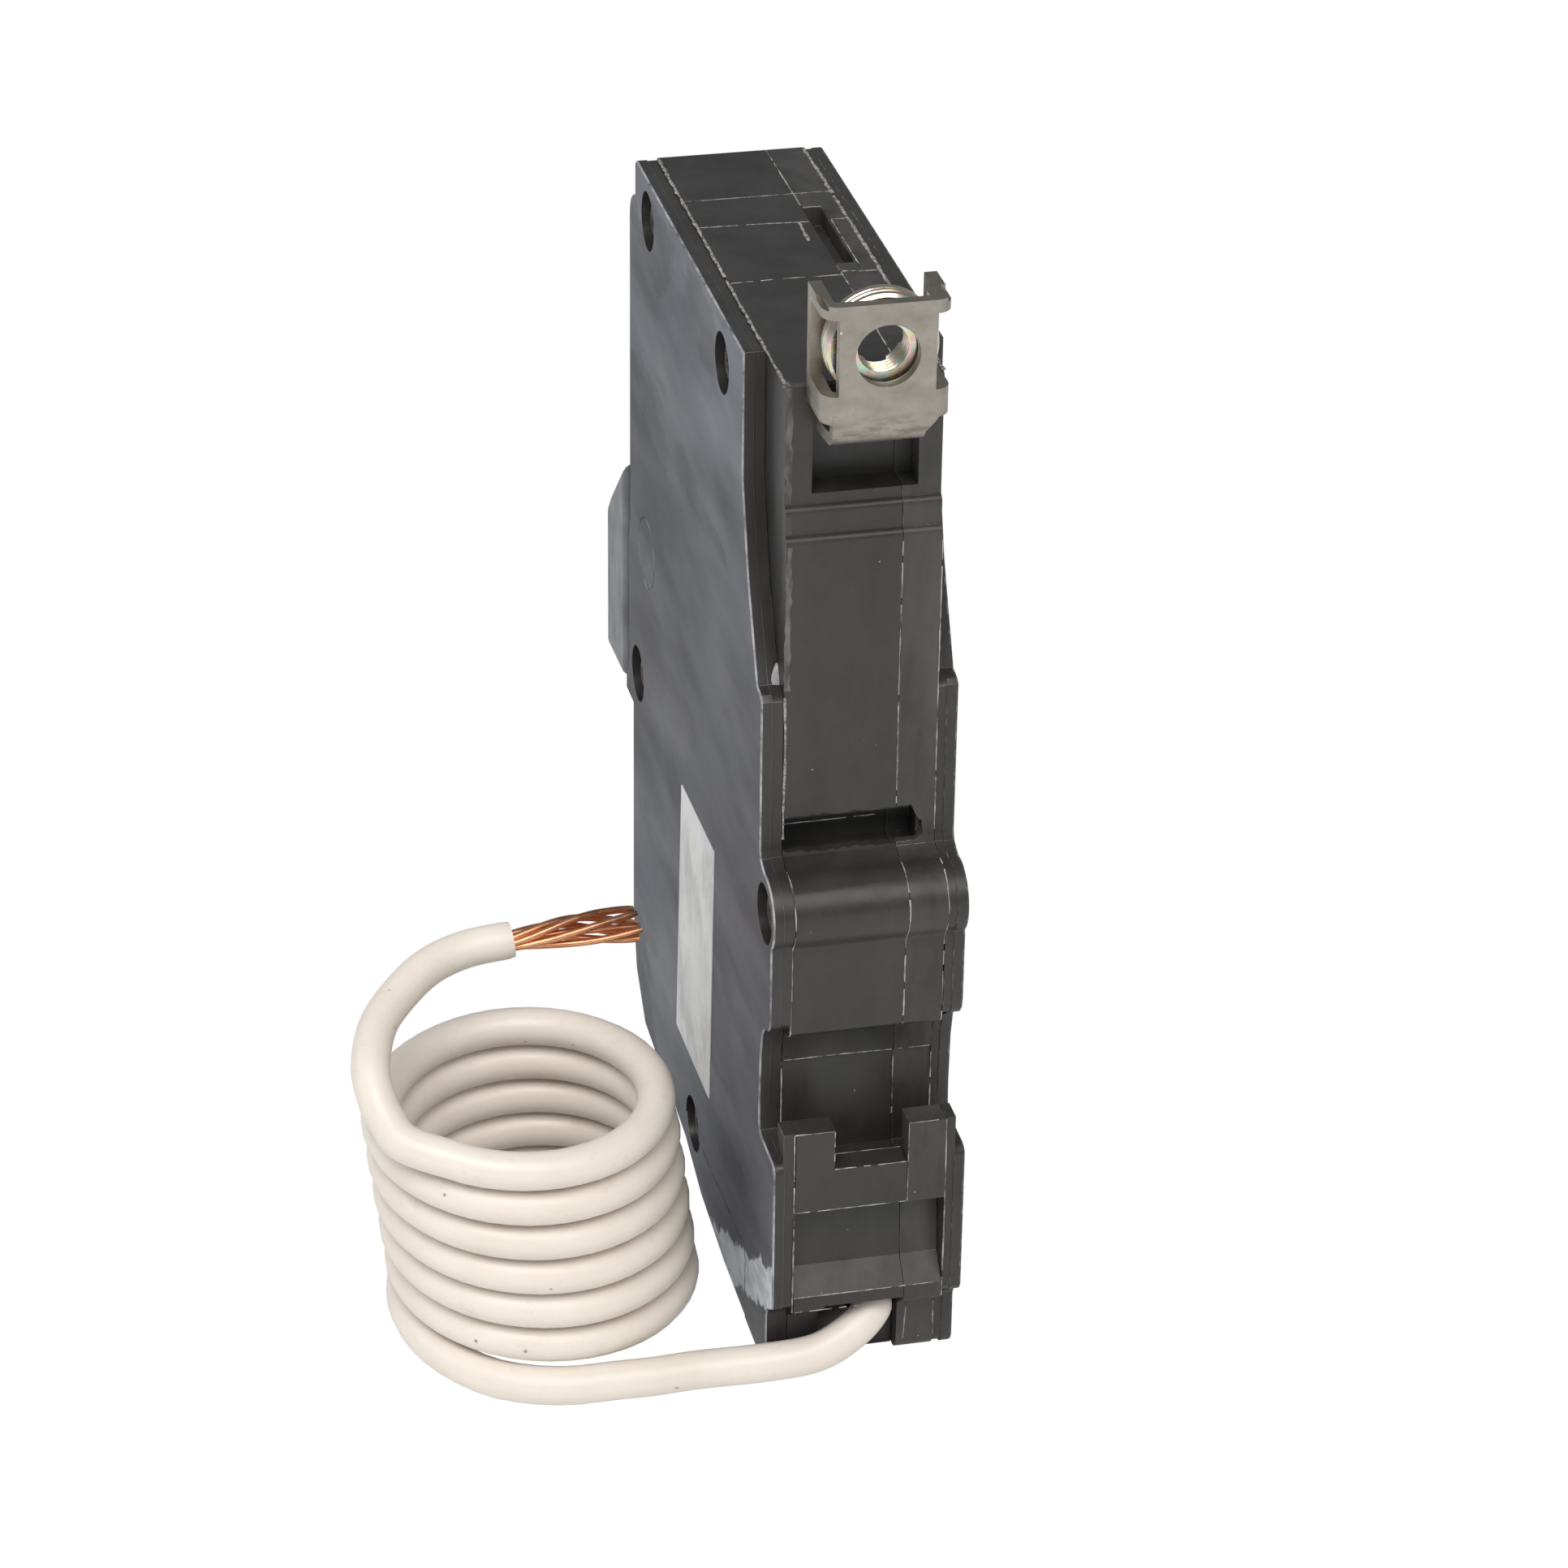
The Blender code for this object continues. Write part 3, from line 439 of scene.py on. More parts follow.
def front_side(inset, drop):
    """The handle side of the case from its top corner down to the load end."""
    return [
        *bow((59.3 - inset, 102.25 - drop), 0.6, 90, 0, 4),
        (59.9 - inset, 98.8),
        *bow((59.9 - inset, 96.1), 2.7, 80, 0, 7),
        (62.6 - inset, 62.0),
        (63.1 - inset, 60.0),
        (63.1 - inset, 45.5),
        (64.4 - inset, 43.2),
        (64.4 - inset, 41.4),
        (60.8 - inset, 41.4),
        (60.8 - inset, 16.5),
        (59.2 - inset, 10.2),
    ]


def middle_outline():
    load_end = [(56.0, 2.6), (50.0, 0.0)]
    mounting_side = [
        (-0.9, 0.0),
        *bow((-1.3, 1.5), 1.5, 265, 180, 4),
        (-2.8, 5.9),
        (-5.5, 7.9),
        (-5.5, 9.6),
        (-3.4, 12.0),
        (-2.8, 19.4),
        (-5.5, 19.4),
        (-5.5, 28.35),
        (-2.8, 28.35),
        (-2.8, 22.5),
        (1.0, 22.5),
        (1.35, 32.5),
        (1.0, 32.7),
        (0.7, 35.6),
        *bow((-1.2, 38.3), 1.3, 300, 200, 4),
        (-2.5, 40.0),
        (-2.66, 46.9),
        *bow((-0.3, 50.3), 3.8, 226, 82, 14),
    ]
    upper = [
        (1.1, 54.35),
        (1.9, 54.75),
        (2.2, 55.6),
        (2.2, 87.1),
        *bow((2.85, 87.2), 0.65, 175, 100, 4),
        (2.7, 89.9),
        *bow((3.35, 90.05), 0.65, 175, 100, 4),
        (3.2, 102.6),
        (3.45, 102.85),
    ]
    return front_side(0, 0) + load_end + mounting_side + upper


hollow = [
    (7.8, 100.2),
    (55.6, 100.2),
    (57.0, 97.4),
    (60.4, 94.4),
    (60.4, 43.6),
    (58.6, 41.0),
    (58.6, 17.0),
    (56.4, 11.8),
    (53.2, 8.2),
    (34.2, 6.2),
    (26.4, 3.9),
    (16.0, 2.7),
    (3.6, 2.7),
    (3.6, 33.0),
    (1.6, 38.0),
    (1.6, 45.0),
    (5.0, 52.0),
    (7.6, 53.0),
    (7.6, 61.5),
    (5.0, 62.5),
    (5.0, 90.2),
    (7.8, 91.5),
]


def slab(outline, low, high, axis="X"):
    """A flat solid: an outline square to an axis, from low to high along it."""
    shape = bmesh.new()
    ends = []
    for along in (low, high):
        ends.append([shape.verts.new(placed(axis, along, u, v)) for u, v in outline])
    count = len(outline)
    shape.faces.new(ends[0])
    shape.faces.new(list(reversed(ends[1])))
    for i in range(count):
        j = (i + 1) % count
        shape.faces.new((ends[0][i], ends[1][i], ends[1][j], ends[0][j]))
    bmesh.ops.recalc_face_normals(shape, faces=shape.faces)
    return shape


def brick(low, high):
    shape = bmesh.new()
    middle = [(a + b) / 2 for a, b in zip(low, high)]
    size = Matrix.Diagonal([b - a for a, b in zip(low, high)] + [1])
    bmesh.ops.create_cube(shape, size=1, matrix=Matrix.Translation(middle) @ size)
    return shape


def drill(axis, centre, low, high, radius, sides=32):
    return slab(bow(centre, radius, 0, 360 - 360 / sides, sides - 1), low, high, axis)


def shaped(blank, tools, operation="DIFFERENCE"):
    """The blank with every tool cut out of it, or joined to it."""
    objects = []
    for shape in (blank, *tools):
        mesh = bpy.data.meshes.new("stock")
        shape.to_mesh(mesh)
        shape.free()
        objects.append(bpy.data.objects.new("stock", mesh))
        scene.collection.objects.link(objects[-1])
    for tool in objects[1:]:
        modifier = objects[0].modifiers.new("cut", "BOOLEAN")
        modifier.operation = operation
        modifier.solver = "EXACT"
        modifier.object = tool
    bpy.context.view_layer.update()
    finished = objects[0].evaluated_get(bpy.context.evaluated_depsgraph_get())
    result = bpy.data.meshes.new_from_object(finished)
    for obj in objects:
        bpy.data.objects.remove(obj)
    shape = bmesh.new()
    shape.from_mesh(result)
    bmesh.ops.remove_doubles(shape, verts=shape.verts, dist=0.002)
    bmesh.ops.dissolve_limit(shape, angle_limit=math.radians(0.8), verts=shape.verts, edges=shape.edges)
    return shape


def rounded(shape, edges, width, segments=3, profile=0.5, finish=0):
    """Rounds these edges and gives the round one of the piece's finishes."""
    bmesh.ops.bevel(
        shape,
        geom=edges,
        offset=width,
        segments=segments,
        profile=profile,
        affect="EDGES",
        clamp_overlap=True,
        material=finish,
    )
    return shape


def eased(shape, width, angle=33):
    """Eases every edge sharper than the angle. The round takes the second finish: worn, and on the left
    cover also a painted highlight.
    """
    joints = [edge for edge in shape.edges if len(edge.link_faces) == 2]
    sharp = [edge for edge in joints if edge.calc_face_angle(0) > math.radians(angle)]
    return rounded(shape, sharp, width, 2, 0.6, 1)


def seat(obj):
    """Keeps flats flat and rounds round on a moulded piece."""
    modifier = obj.modifiers.new("normals", "WEIGHTED_NORMAL")
    modifier.weight = 80
    modifier.keep_sharp = True
    return obj


def jagged(points, rough, dice):
    """An outline whose long sides are broken up into a ragged edge."""
    ragged = []
    for a, b in zip(points, points[1:] + points[:1]):
        a, b = Vector(a), Vector(b)
        count = max(1, int((b - a).length / 0.55))
        for i in range(count):
            point = a.lerp(b, (i + dice.uniform(-0.25, 0.25) * (i > 0)) / count)
            across = Vector((-(b - a).y, (b - a).x)).normalized()
            ragged.append(tuple(point + across * dice.uniform(-rough, rough)))
    return ragged


def black_moulding(name, haze_and_glare, blue):
    """Black phenolic: near black, with pale dust specks, short scratches and a handled haze, which where it
    is strong is partly painted glare.
    """
    f = Finish(name, specular=0.46)
    cloud = f.step(f.grain(14, 4, 0.6), 0.35, 0.7)
    base = f.blend(cloud, (0.021, 0.0203, 0.0192), (0.031, 0.0296, 0.028))
    haze_and_glare_mask = f.sum("MULTIPLY", f.step(f.grain((5, 5, 16), 5, 0.62, 4), 0.38, 0.72), haze_and_glare)
    base = f.blend(haze_and_glare_mask, base, blue)
    dust = f.step(f.grain(0.55, 5, 0.75, 7), 0.60, 0.80, 0, 0.30)
    dusty = f.step(f.grain(7, 3, 0.6, 2), 0.42, 0.7)
    base = f.blend(f.sum("MULTIPLY", dust, dusty), base, (0.20, 0.19, 0.18))
    base = f.blend(f.specks(1.5, 0.07, 0.08), base, (0.28, 0.27, 0.26))
    base = f.blend(f.specks(3.3, 0.035, 0.15, 5), base, (0.50, 0.49, 0.47))
    down, across = f.scratches((0.5, 0.5, 12), 0.010, 0.20), f.scratches((9, 0.7, 0.7), 0.008, 0.16, 6)
    lines = f.sum("MULTIPLY", f.sum("MAXIMUM", down, across), 0.2)
    base = f.blend(lines, base, (0.26, 0.25, 0.24))
    f.bump(f.grain(0.35, 4, 0.6), 0.012)
    f.bump(f.grain(9, 2), 0.06)
    gloss = f.step(f.grain((3, 3, 7), 4, 0.65, 1), 0.3, 0.7, 0.30, 0.46)
    return f.done(base, f.sum("ADD", gloss, f.sum("MULTIPLY", haze_and_glare_mask, 0.15)))


def rubbed_edge():
    """The same phenolic where an edge has rubbed pale in short patches."""
    f = Finish("rubbed_edge", specular=0.36)
    wear = f.step(f.grain(1.3, 4, 0.7, 3), 0.50, 0.68)
    tone = f.blend(f.sum("MULTIPLY", wear, 0.75), (0.045, 0.043, 0.041), (0.30, 0.285, 0.265))
    f.bump(f.grain(0.5, 3), 0.02)
    return f.done(tone, f.step(wear, 0, 1, 0.34, 0.6))


body_black = black_moulding("case_black", 0.16, (0.085, 0.082, 0.080))
# The second layer's strong haze is partly painted glare on the right of the mounting side.
glare_hazed_black = black_moulding("second_layer_black_painted_glare", 0.55, (0.095, 0.092, 0.088))
edge_black = rubbed_edge()
dice = random.Random(7)
slot_corners = [(-7.6, 58.85), (5.1, 58.8), (5.6, 58.1), (6.25, 57.0), (6.4, 55.7), (5.7, 55.1)]
slot_corners += [(-7.0, 55.1), (-7.6, 55.6)]
ragged_slot = [(z, x) for x, z in jagged(slot_corners, 0.16, dice)]


def wells():
    """Screw wells and wire entries of the two load terminals."""
    tools = []
    for depth, height in ((52.5, 17.0), (43.0, 33.0)):
        tools.append(drill("Y", (height, -2.2), 55, 66, 3.0))
        tools.append(drill("Z", (-2.2, depth - 0.9), -1, 9.5, 3.0))
    return tools


def rivet_holes(low, high):
    return [drill("X", place, low - 1, high + 1, 1.45, 20) for place in rivet_places]


def broken_slot(low, high):
    """The slot's ragged mouth and the two steps of its pit, from low to high across the case."""
    pit = brick((low, 2.9, 53.9), (high, 6.2, 57.4))
    shelf = brick((low, 3.3, 57.3), (high, 4.4, 58.7))
    return [slab(ragged_slot, -1, 3.6, "Y"), pit, shelf]


def hollow_tool(low, high, wall):
    """The hollow, less the rivet posts and the thin wall that closes it in the cover's notch."""
    posts = [drill("X", place, low - 1, high + 1, 3.1, 24) for place in rivet_places]
    return shaped(slab(hollow, low, high), [*posts, brick((wall[0], -1, 70.5), (wall[1], 12.6, 101))])


WALL = 1.1
rail_pocket = brick((-3.45, -9, 24.0), (5, 1.0, 32))
terminal_window = brick((-4.75, -1, 91.8), (5, 6.4, 100.2))
strap_passage = brick((-3.7, 5, 97.8), (MAIN[1] - WALL, 9, 99.9))
lead_channel = brick((-4.2, -9, -1), (5, -0.9, 8.3))
lead_hole = drill("Y", (6.1, 1.4), -2, 5, 2.6)
stem_opening = brick((-5.1, 58, 51.2), (1.9, 70, 67.2))
key_opening = brick((-5.0, 58, 79.6), (1.8, 70, 88.4))
main_shape = shaped(
    slab(middle_outline(), *MAIN),
    [
        hollow_tool(MAIN[0] - 1, MAIN[1] - WALL, (MAIN[0] - 2, MAIN[0] + WALL)),
        *rivet_holes(*MAIN),
        rail_pocket,
        *broken_slot(-9, 5),
        terminal_window,
        strap_passage,
        lead_channel,
        lead_hole,
        stem_opening,
        key_opening,
        *wells(),
    ],
)
main_case = seat(piece("main_layer", eased(main_shape, 0.13), [body_black, edge_black], 40))
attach(main_case, "case")
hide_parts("main_case")

# ---------------------------------------------------------------------------------------------
# Second case layer: the 3.7 mm moulding that closes the circuit board's space. It shares the main
# layer's outline, and its top has a tool slot with a shallow tab beside it.
SECOND = (3.79, 7.51)
terminal_window = brick((2, -1, 91.8), (5.3, 6.4, 100.2))
tool_slot = brick((2, 29.8, 100.9), (5.65, 43.8, 104))
tab_groove = brick((5.65, 28.0, 102.75), (5.8, 43.0, 104))
second_shape = shaped(
    slab(middle_outline(), *SECOND),
    [
        hollow_tool(SECOND[0] - 1, SECOND[1] + 1, (SECOND[1] - WALL, SECOND[1] + 2)),
        *rivet_holes(*SECOND),
        *broken_slot(2, 6.05),
        terminal_window,
        tool_slot,
        tab_groove,
    ],
)
second_case = seat(piece("second_layer", eased(second_shape, 0.13), [glare_hazed_black, edge_black], 40))
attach(second_case, "case")
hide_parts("second_case")

# ---------------------------------------------------------------------------------------------
# Left and right covers: 2.2 mm phenolic plates that close the stack. Each has a set-in rim towards
# the case, five rivet pockets, and a notch at the top rear that bares the main layer.


def cover_outline(rim):
    """A cover's side view. The rim is set in a little and carries the hook's outer end."""
    s = 0.13 if rim else 0.0
    load_end = [(54.5, 5.8 + s), (34.6, 3.9 + s), (27.0, 1.6 + s), (16.2, 0.35 + s), (3.3, s)]
    rim_hook = [(-5.5 + s, 28.35), (-2.8, 28.35), (-2.8, 25.0)]
    plate_hook = [(-5.5, 23.2), *bow((-4.4, 23.8), 1.1, 180, 95, 4)]
    mounting_side = [
        (-0.9 + s, s),
        *bow((-1.3 + s, 1.5 + s), 1.5, 265, 180, 4),
        (-2.8 + s, 6.2),
        (-3.4 + s, 7.3),
        (-5.2 + s, 8.4),
        (-5.5 + s, 9.0),
        *(rim_hook if rim else plate_hook),
        (0.4, 25.0),
        (0.95, 25.3),
        (1.2, 26.2),
        (1.25 + s, 28.4),
        (0.95 + s, 33.8),
        (0.35 + s, 36.4),
        (-0.5 + s, 37.5),
        (-2.2 + s, 38.2),
        (-2.75 + s, 38.9),
        (-2.95 + s, 40.0),
        (-2.98 + s, 46.9),
        *bow((-0.3, 50.3), 3.8 - s, 226, 82, 14),
    ]
    upper = [
        (1.1 + s, 54.35),
        (1.9 + s, 54.75),
        (2.2 + s, 55.6),
        (2.2 + s, 71.2 - s),
        (2.7 + s, 71.7 - s),
        (4.2, 72.0),
        (8.5 + s, 81.2),
        (11.2 + s, 90.0),
        (11.2 + s, 102.75 - s / 3),
    ]
    return front_side(0.1 + s, 0.1 + s / 3) + load_end + mounting_side + upper


def sheen_painted_moulding():
    """The left cover's outer face: black phenolic with a painted bluish sheen, streaked and scuffed."""
    f = Finish("left_cover_painted_sheen", specular=0.22)
    # The bluish grey laid over the black, and its streaks, are painted sheen: the room's reflection on the
    # flat face at a grazing angle.
    sheen_streak = f.step(f.grain((9, 24, 14), 4, 0.5, 2), 0.38, 0.64)
    film = f.step(f.grain((9, 28, 9), 4, 0.5, 5), 0.38, 0.64)
    base = f.blend(film, (0.062, 0.065, 0.073), (0.150, 0.157, 0.180))
    base = f.blend(f.sum("MULTIPLY", sheen_streak, 0.6), base, (0.160, 0.169, 0.198))
    # Painted shade: the painted sheen fades towards black below the top, most between heights of 42 and 70
    # mm.
    sheen_fade = f.sum("MULTIPLY", f.step(f.z, 96, 70, 0, 0.66), f.step(f.z, 12, 42, 0.1, 1))
    base = f.blend(sheen_fade, base, (0.034, 0.035, 0.038))
    patch = f.step(f.grain((7, 26, 9), 5, 0.55, 11), 0.54, 0.59, 0, 0.5)
    base = f.blend(patch, base, (0.040, 0.041, 0.046))
    fine = f.sum("MULTIPLY", f.scratches((2, 5.0, 14), 0.004, 0.15), 0.3)
    slant = f.sum("MULTIPLY", f.scratches((3, 5.0, 7.0), 0.004, 0.2, 4), 0.35)
    base = f.blend(f.sum("MAXIMUM", fine, slant), base, (0.30, 0.31, 0.33))
    base = f.blend(f.step(f.grain(0.5, 5, 0.75, 3), 0.66, 0.82, 0, 0.3), base, (0.30, 0.31, 0.33))
    base = f.blend(f.specks(1.7, 0.08, 0.25), base, (0.60, 0.61, 0.62))
    ragged = f.sum("MULTIPLY_ADD", f.grain(2.6, 5, 0.65, 8), 5.0, f.sum("MULTIPLY_ADD", f.y, 0.435, f.z))
    scuff = f.sum("MULTIPLY", f.band(ragged, 8.3, 13.2, 0.25), f.step(f.y, 27, 20))
    powder = f.step(f.grain((1.5, 5, 1.8), 5, 0.7, 6), 0.32, 0.60, 0.55, 1.0)
    base = f.blend(f.sum("MULTIPLY", scuff, powder), base, (0.66, 0.70, 0.76))
    f.bump(f.grain((5, 22, 7), 2, 0.45), 0.05)
    f.bump(f.grain(0.3, 3), 0.01)
    gloss = f.step(f.grain((3, 24, 7), 3, 0.5, 1), 0.3, 0.7, 0.42, 0.6)
    return f.done(base, f.sum("MULTIPLY_ADD", scuff, 0.2, gloss))


def white_rub_and_highlight():
    """A cover's outer edge, rubbed to a thin white line that comes and goes, partly a painted highlight."""
    f = Finish("cover_edge_rub_and_highlight", specular=0.4)
    # The pale line is wear and, along its length, a painted highlight on the rounded edge.
    wear = f.step(f.grain((3, 3, 3), 4, 0.65, 3), 0.34, 0.60)
    tone = f.blend(f.sum("MULTIPLY", wear, 0.8), (0.07, 0.07, 0.075), (0.44, 0.44, 0.45))
    return f.done(tone, f.step(wear, 0, 1, 0.35, 0.6))


def across_cover(side, low, high):
    """From low to high across the case, on the left for side -1 and on the right for side 1."""
    return sorted((side * low, side * high))


FACE, PLATE_BACK, POCKET_FLOOR = 9.525, 8.4, 8.125
EJECTOR, GROOVE_FLOOR, CREASE_FLOOR = (54.0, 62.0), -9.43, -9.40
crease = [(42, 7.3), (26.3, 7.56), (8.3, 8.2), (6.6, 8.05), (6.15, 7.5), (5.95, 0.8), (5.95, -1), (42, -1)]
sheen_painted_black, edge_white_highlight = sheen_painted_moulding(), white_rub_and_highlight()
for name, side, rim_back in (("left_cover", -1, 7.34), ("right_cover", 1, 7.58)):
    plate = slab(cover_outline(False), *across_cover(side, PLATE_BACK, FACE))
    outer_rim = [e for e in plate.edges if all(abs(v.co.x - side * FACE) < 0.01 for v in e.verts)]
    rim = slab(cover_outline(True), *across_cover(side, rim_back, PLATE_BACK + 0.1))
    joined = shaped(rounded(plate, outer_rim, 0.22), [rim], "UNION")
    tools = rivet_holes(*across_cover(side, 7, 10))
    for place in rivet_places:
        tools.append(drill("X", place, *across_cover(side, POCKET_FLOOR, 11), 3.0, 48))
    if side < 0:
        ring_core = drill("X", EJECTOR, -12, -9, 3.6, 40)
        tools.append(shaped(drill("X", EJECTOR, -11, GROOVE_FLOOR, 3.85, 40), [ring_core]))
        tools.append(slab(crease, -11, CREASE_FLOOR))
    shape = eased(shaped(joined, tools), 0.09)
    # The left cover's outer face takes the third finish, the painted sheen.
    for face in shape.faces:
        middle = face.calc_center_median()
        if abs(middle.x) > 9.3 and face.calc_area() < 30 and abs(face.normal.x) < 0.9:
            face.material_index = 1
        elif face.normal.x < -0.9 and middle.x < -9.3:
            face.material_index = 2
    # The left cover's edge finish is the white rub with its painted highlight; the right cover's is the
    # plain rubbed edge.
    rub = edge_white_highlight if side < 0 else edge_black
    cover = seat(piece(name + "_moulding", shape, [body_black, rub, sheen_painted_black], 40))
    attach(cover, "case")
    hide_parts(name)

# ---------------------------------------------------------------------------------------------
# Flash and dust along the joints: where the four mouldings meet, the phenolic has broken out into
# a pale rough line, wide on the top and the worn rear corner, thin elsewhere.


def flash_line(shape, width, skip, out, points, dice):
    """A low ragged ridge along points on a surface that faces out, with a share of it left out."""
    out = Vector(out).normalized()
    stations = []
    for a, b in zip(points, points[1:]):
        a, b = Vector(a), Vector(b)
        count = max(1, int((b - a).length / 0.7))
        across = (b - a).cross(out).normalized()
        stations += [(a.lerp(b, i / count), across) for i in range(count)]
    stations.append((Vector(points[-1]), stations[-1][1]))
    ridges = [[]]
    for point, across in stations:
        wide = width / 2 * dice.uniform(0.55, 1.35)
        point = point + across * dice.uniform(-0.12, 0.12) * width
        crest, foot = point + out * dice.uniform(0.015, 0.04), point - out * 0.02
        row = [shape.verts.new(spot) for spot in (foot - across * wide, crest, foot + across * wide)]
        ridges[-1].append(row)
        if len(ridges[-1]) > 1 and dice.random() < skip:
            ridges.append([])
    for ridge in ridges:
        for a, b in zip(ridge, ridge[1:]):
            for i, j in ((0, 1), (1, 2), (2, 0)):
                shape.faces.new((a[i], a[j], b[j], b[i]))
        if len(ridge) > 1:
            shape.faces.new(ridge[0])
            shape.faces.new(ridge[-1])


def pale_flash():
    """Broken phenolic and packing dust, chalky grey brown, dark again between the grains."""
    f = Finish("pale_flash", specular=0.3)
    chalk = f.step(f.grain(0.55, 5, 0.7), 0.40, 0.60)
    tone = f.blend(chalk, (0.09, 0.086, 0.081), (0.38, 0.36, 0.335))
    f.bump(f.grain(0.2, 4, 0.7), 0.03)
    return f.done(tone, 0.75)


def thin_flash():
    """The same chalky line where it is a hair wide, mostly worn away."""
    f = Finish("thin_flash", specular=0.3)
    chalk = f.step(f.grain((1.6, 1.6, 2.4), 4, 0.65, 2), 0.36, 0.58)
    tone = f.blend(chalk, (0.050, 0.048, 0.045), (0.40, 0.38, 0.355))
    return f.done(tone, 0.7)


def worn_corner():
    """Phenolic rubbed to a soft grey along the main layer's bared corner."""
    f = Finish("worn_corner", specular=0.35)
    rub = f.step(f.grain((1.5, 1.5, 3.5), 4, 0.6, 5), 0.36, 0.66)
    f.bump(f.grain(0.5, 3), 0.02)
    return f.done(f.blend(rub, (0.055, 0.053, 0.050), (0.155, 0.148, 0.138)), 0.6)


UP, BACK = (0, 0, 1), (0, -1, 0)
TOP = 102.86


def on_top(*spots):
    """Points on the top, from their places across and behind the mounting side."""
    return [(x, y, TOP) for x, y in spots]


def on_rear(depth, *spots):
    """Points on the mounting side at one depth, from their places across and heights."""
    return [(x, depth, z) for x, z in spots]


def mounting_run(x, top, bottom):
    """The mounting side's outline, from one height down to another, at one place across."""
    outline = middle_outline()
    start = max(i for i, (y, z) in enumerate(outline) if z < 0.5 and y > 20)
    return [(x, y - 0.01, z) for y, z in reversed(outline[start:]) if bottom <= z <= top]


crease_run = [(27.2, 7.55), (22.9, 7.7), (8.3, 8.2), (6.4, 8.05), (6.0, 6.8), (5.95, 0.9)]
bared_corner = [*on_top((-7.28, 3.5)), *on_rear(3.18, (-6.97, 102.5), (-6.95, 97), (-7.0, 90.9))]
dice = random.Random(31)
bold, faint, worn = bmesh.new(), bmesh.new(), bmesh.new()
seams = [
    (bold, 0.34, 0.02, UP, on_top((-7.3, 59.3), (-7.28, 40), (-7.32, 25), (-7.3, 3.6))),
    (bold, 0.38, 0.02, UP, on_top((7.52, 59.3), (7.55, 42), (7.5, 24), (7.54, 3.7))),
    (bold, 0.24, 0.03, UP, on_top((-7.1, 40.9), (-1.0, 40.7), (3.6, 40.4))),
    (bold, 0.42, 0.0, UP, on_top((2.65, 40.3), (2.6, 38.0), (2.5, 35.7))),
    (bold, 0.30, 0.0, UP, on_top((3.95, 27.9), (5.6, 27.6), (7.4, 27.5))),
    (bold, 0.20, 0.0, UP, on_top((5.9, 40.6), (7.4, 40.6))),
    (faint, 0.16, 0.08, UP, on_top((3.72, 59.3), (3.78, 44.5))),
    (faint, 0.16, 0.08, UP, on_top((3.74, 29.2), (3.8, 18), (3.76, 3.7))),
    (faint, 0.09, 0.08, UP, on_top((-7.1, 47.6), (0, 47.6), (7.4, 47.6))),
    (faint, 0.13, 0.08, UP, on_top((-7.1, 27.0), (-2, 27.2), (3.6, 27.0))),
    (faint, 0.14, 0.08, UP, on_top((5.88, 40.4), (5.9, 34), (5.86, 28.6))),
    (faint, 0.14, 0.08, UP, on_top((3.9, 44.0), (5.7, 43.95))),
    (worn, 0.62, 0.0, (0, -1, 0.02), bared_corner),
    (worn, 0.55, 0.0, BACK, on_rear(2.68, (-7.0, 89.9), (-6.98, 88.0))),
    (worn, 0.52, 0.0, BACK, on_rear(2.18, (-6.98, 87.0), (-7.02, 80), (-7.06, 72.2))),
    (bold, 0.24, 0.05, BACK, on_rear(2.19, (-7.22, 71.5), (-7.1, 66), (-7.2, 60), (-7.24, 56.5))),
    (faint, 0.14, 0.12, BACK, on_rear(2.19, (3.76, 86.6), (3.7, 70), (3.76, 59.2))),
    (faint, 0.13, 0.10, BACK, on_rear(2.19, (7.54, 86.6), (7.5, 70), (7.54, 56.0))),
    (faint, 0.14, 0.0, BACK, on_rear(3.19, (3.76, 102.5), (3.74, 100.4))),
]
for x, skip in ((-7.3, 0.10), (3.76, 0.2), (7.54, 0.12)):
    seams.append((faint, 0.14, skip, BACK, mounting_run(x, 54.2, 36.0)))
    seams.append((faint, 0.12, skip, BACK, [(x, 0.99, 32.0), (x, 0.98, 25.5)]))
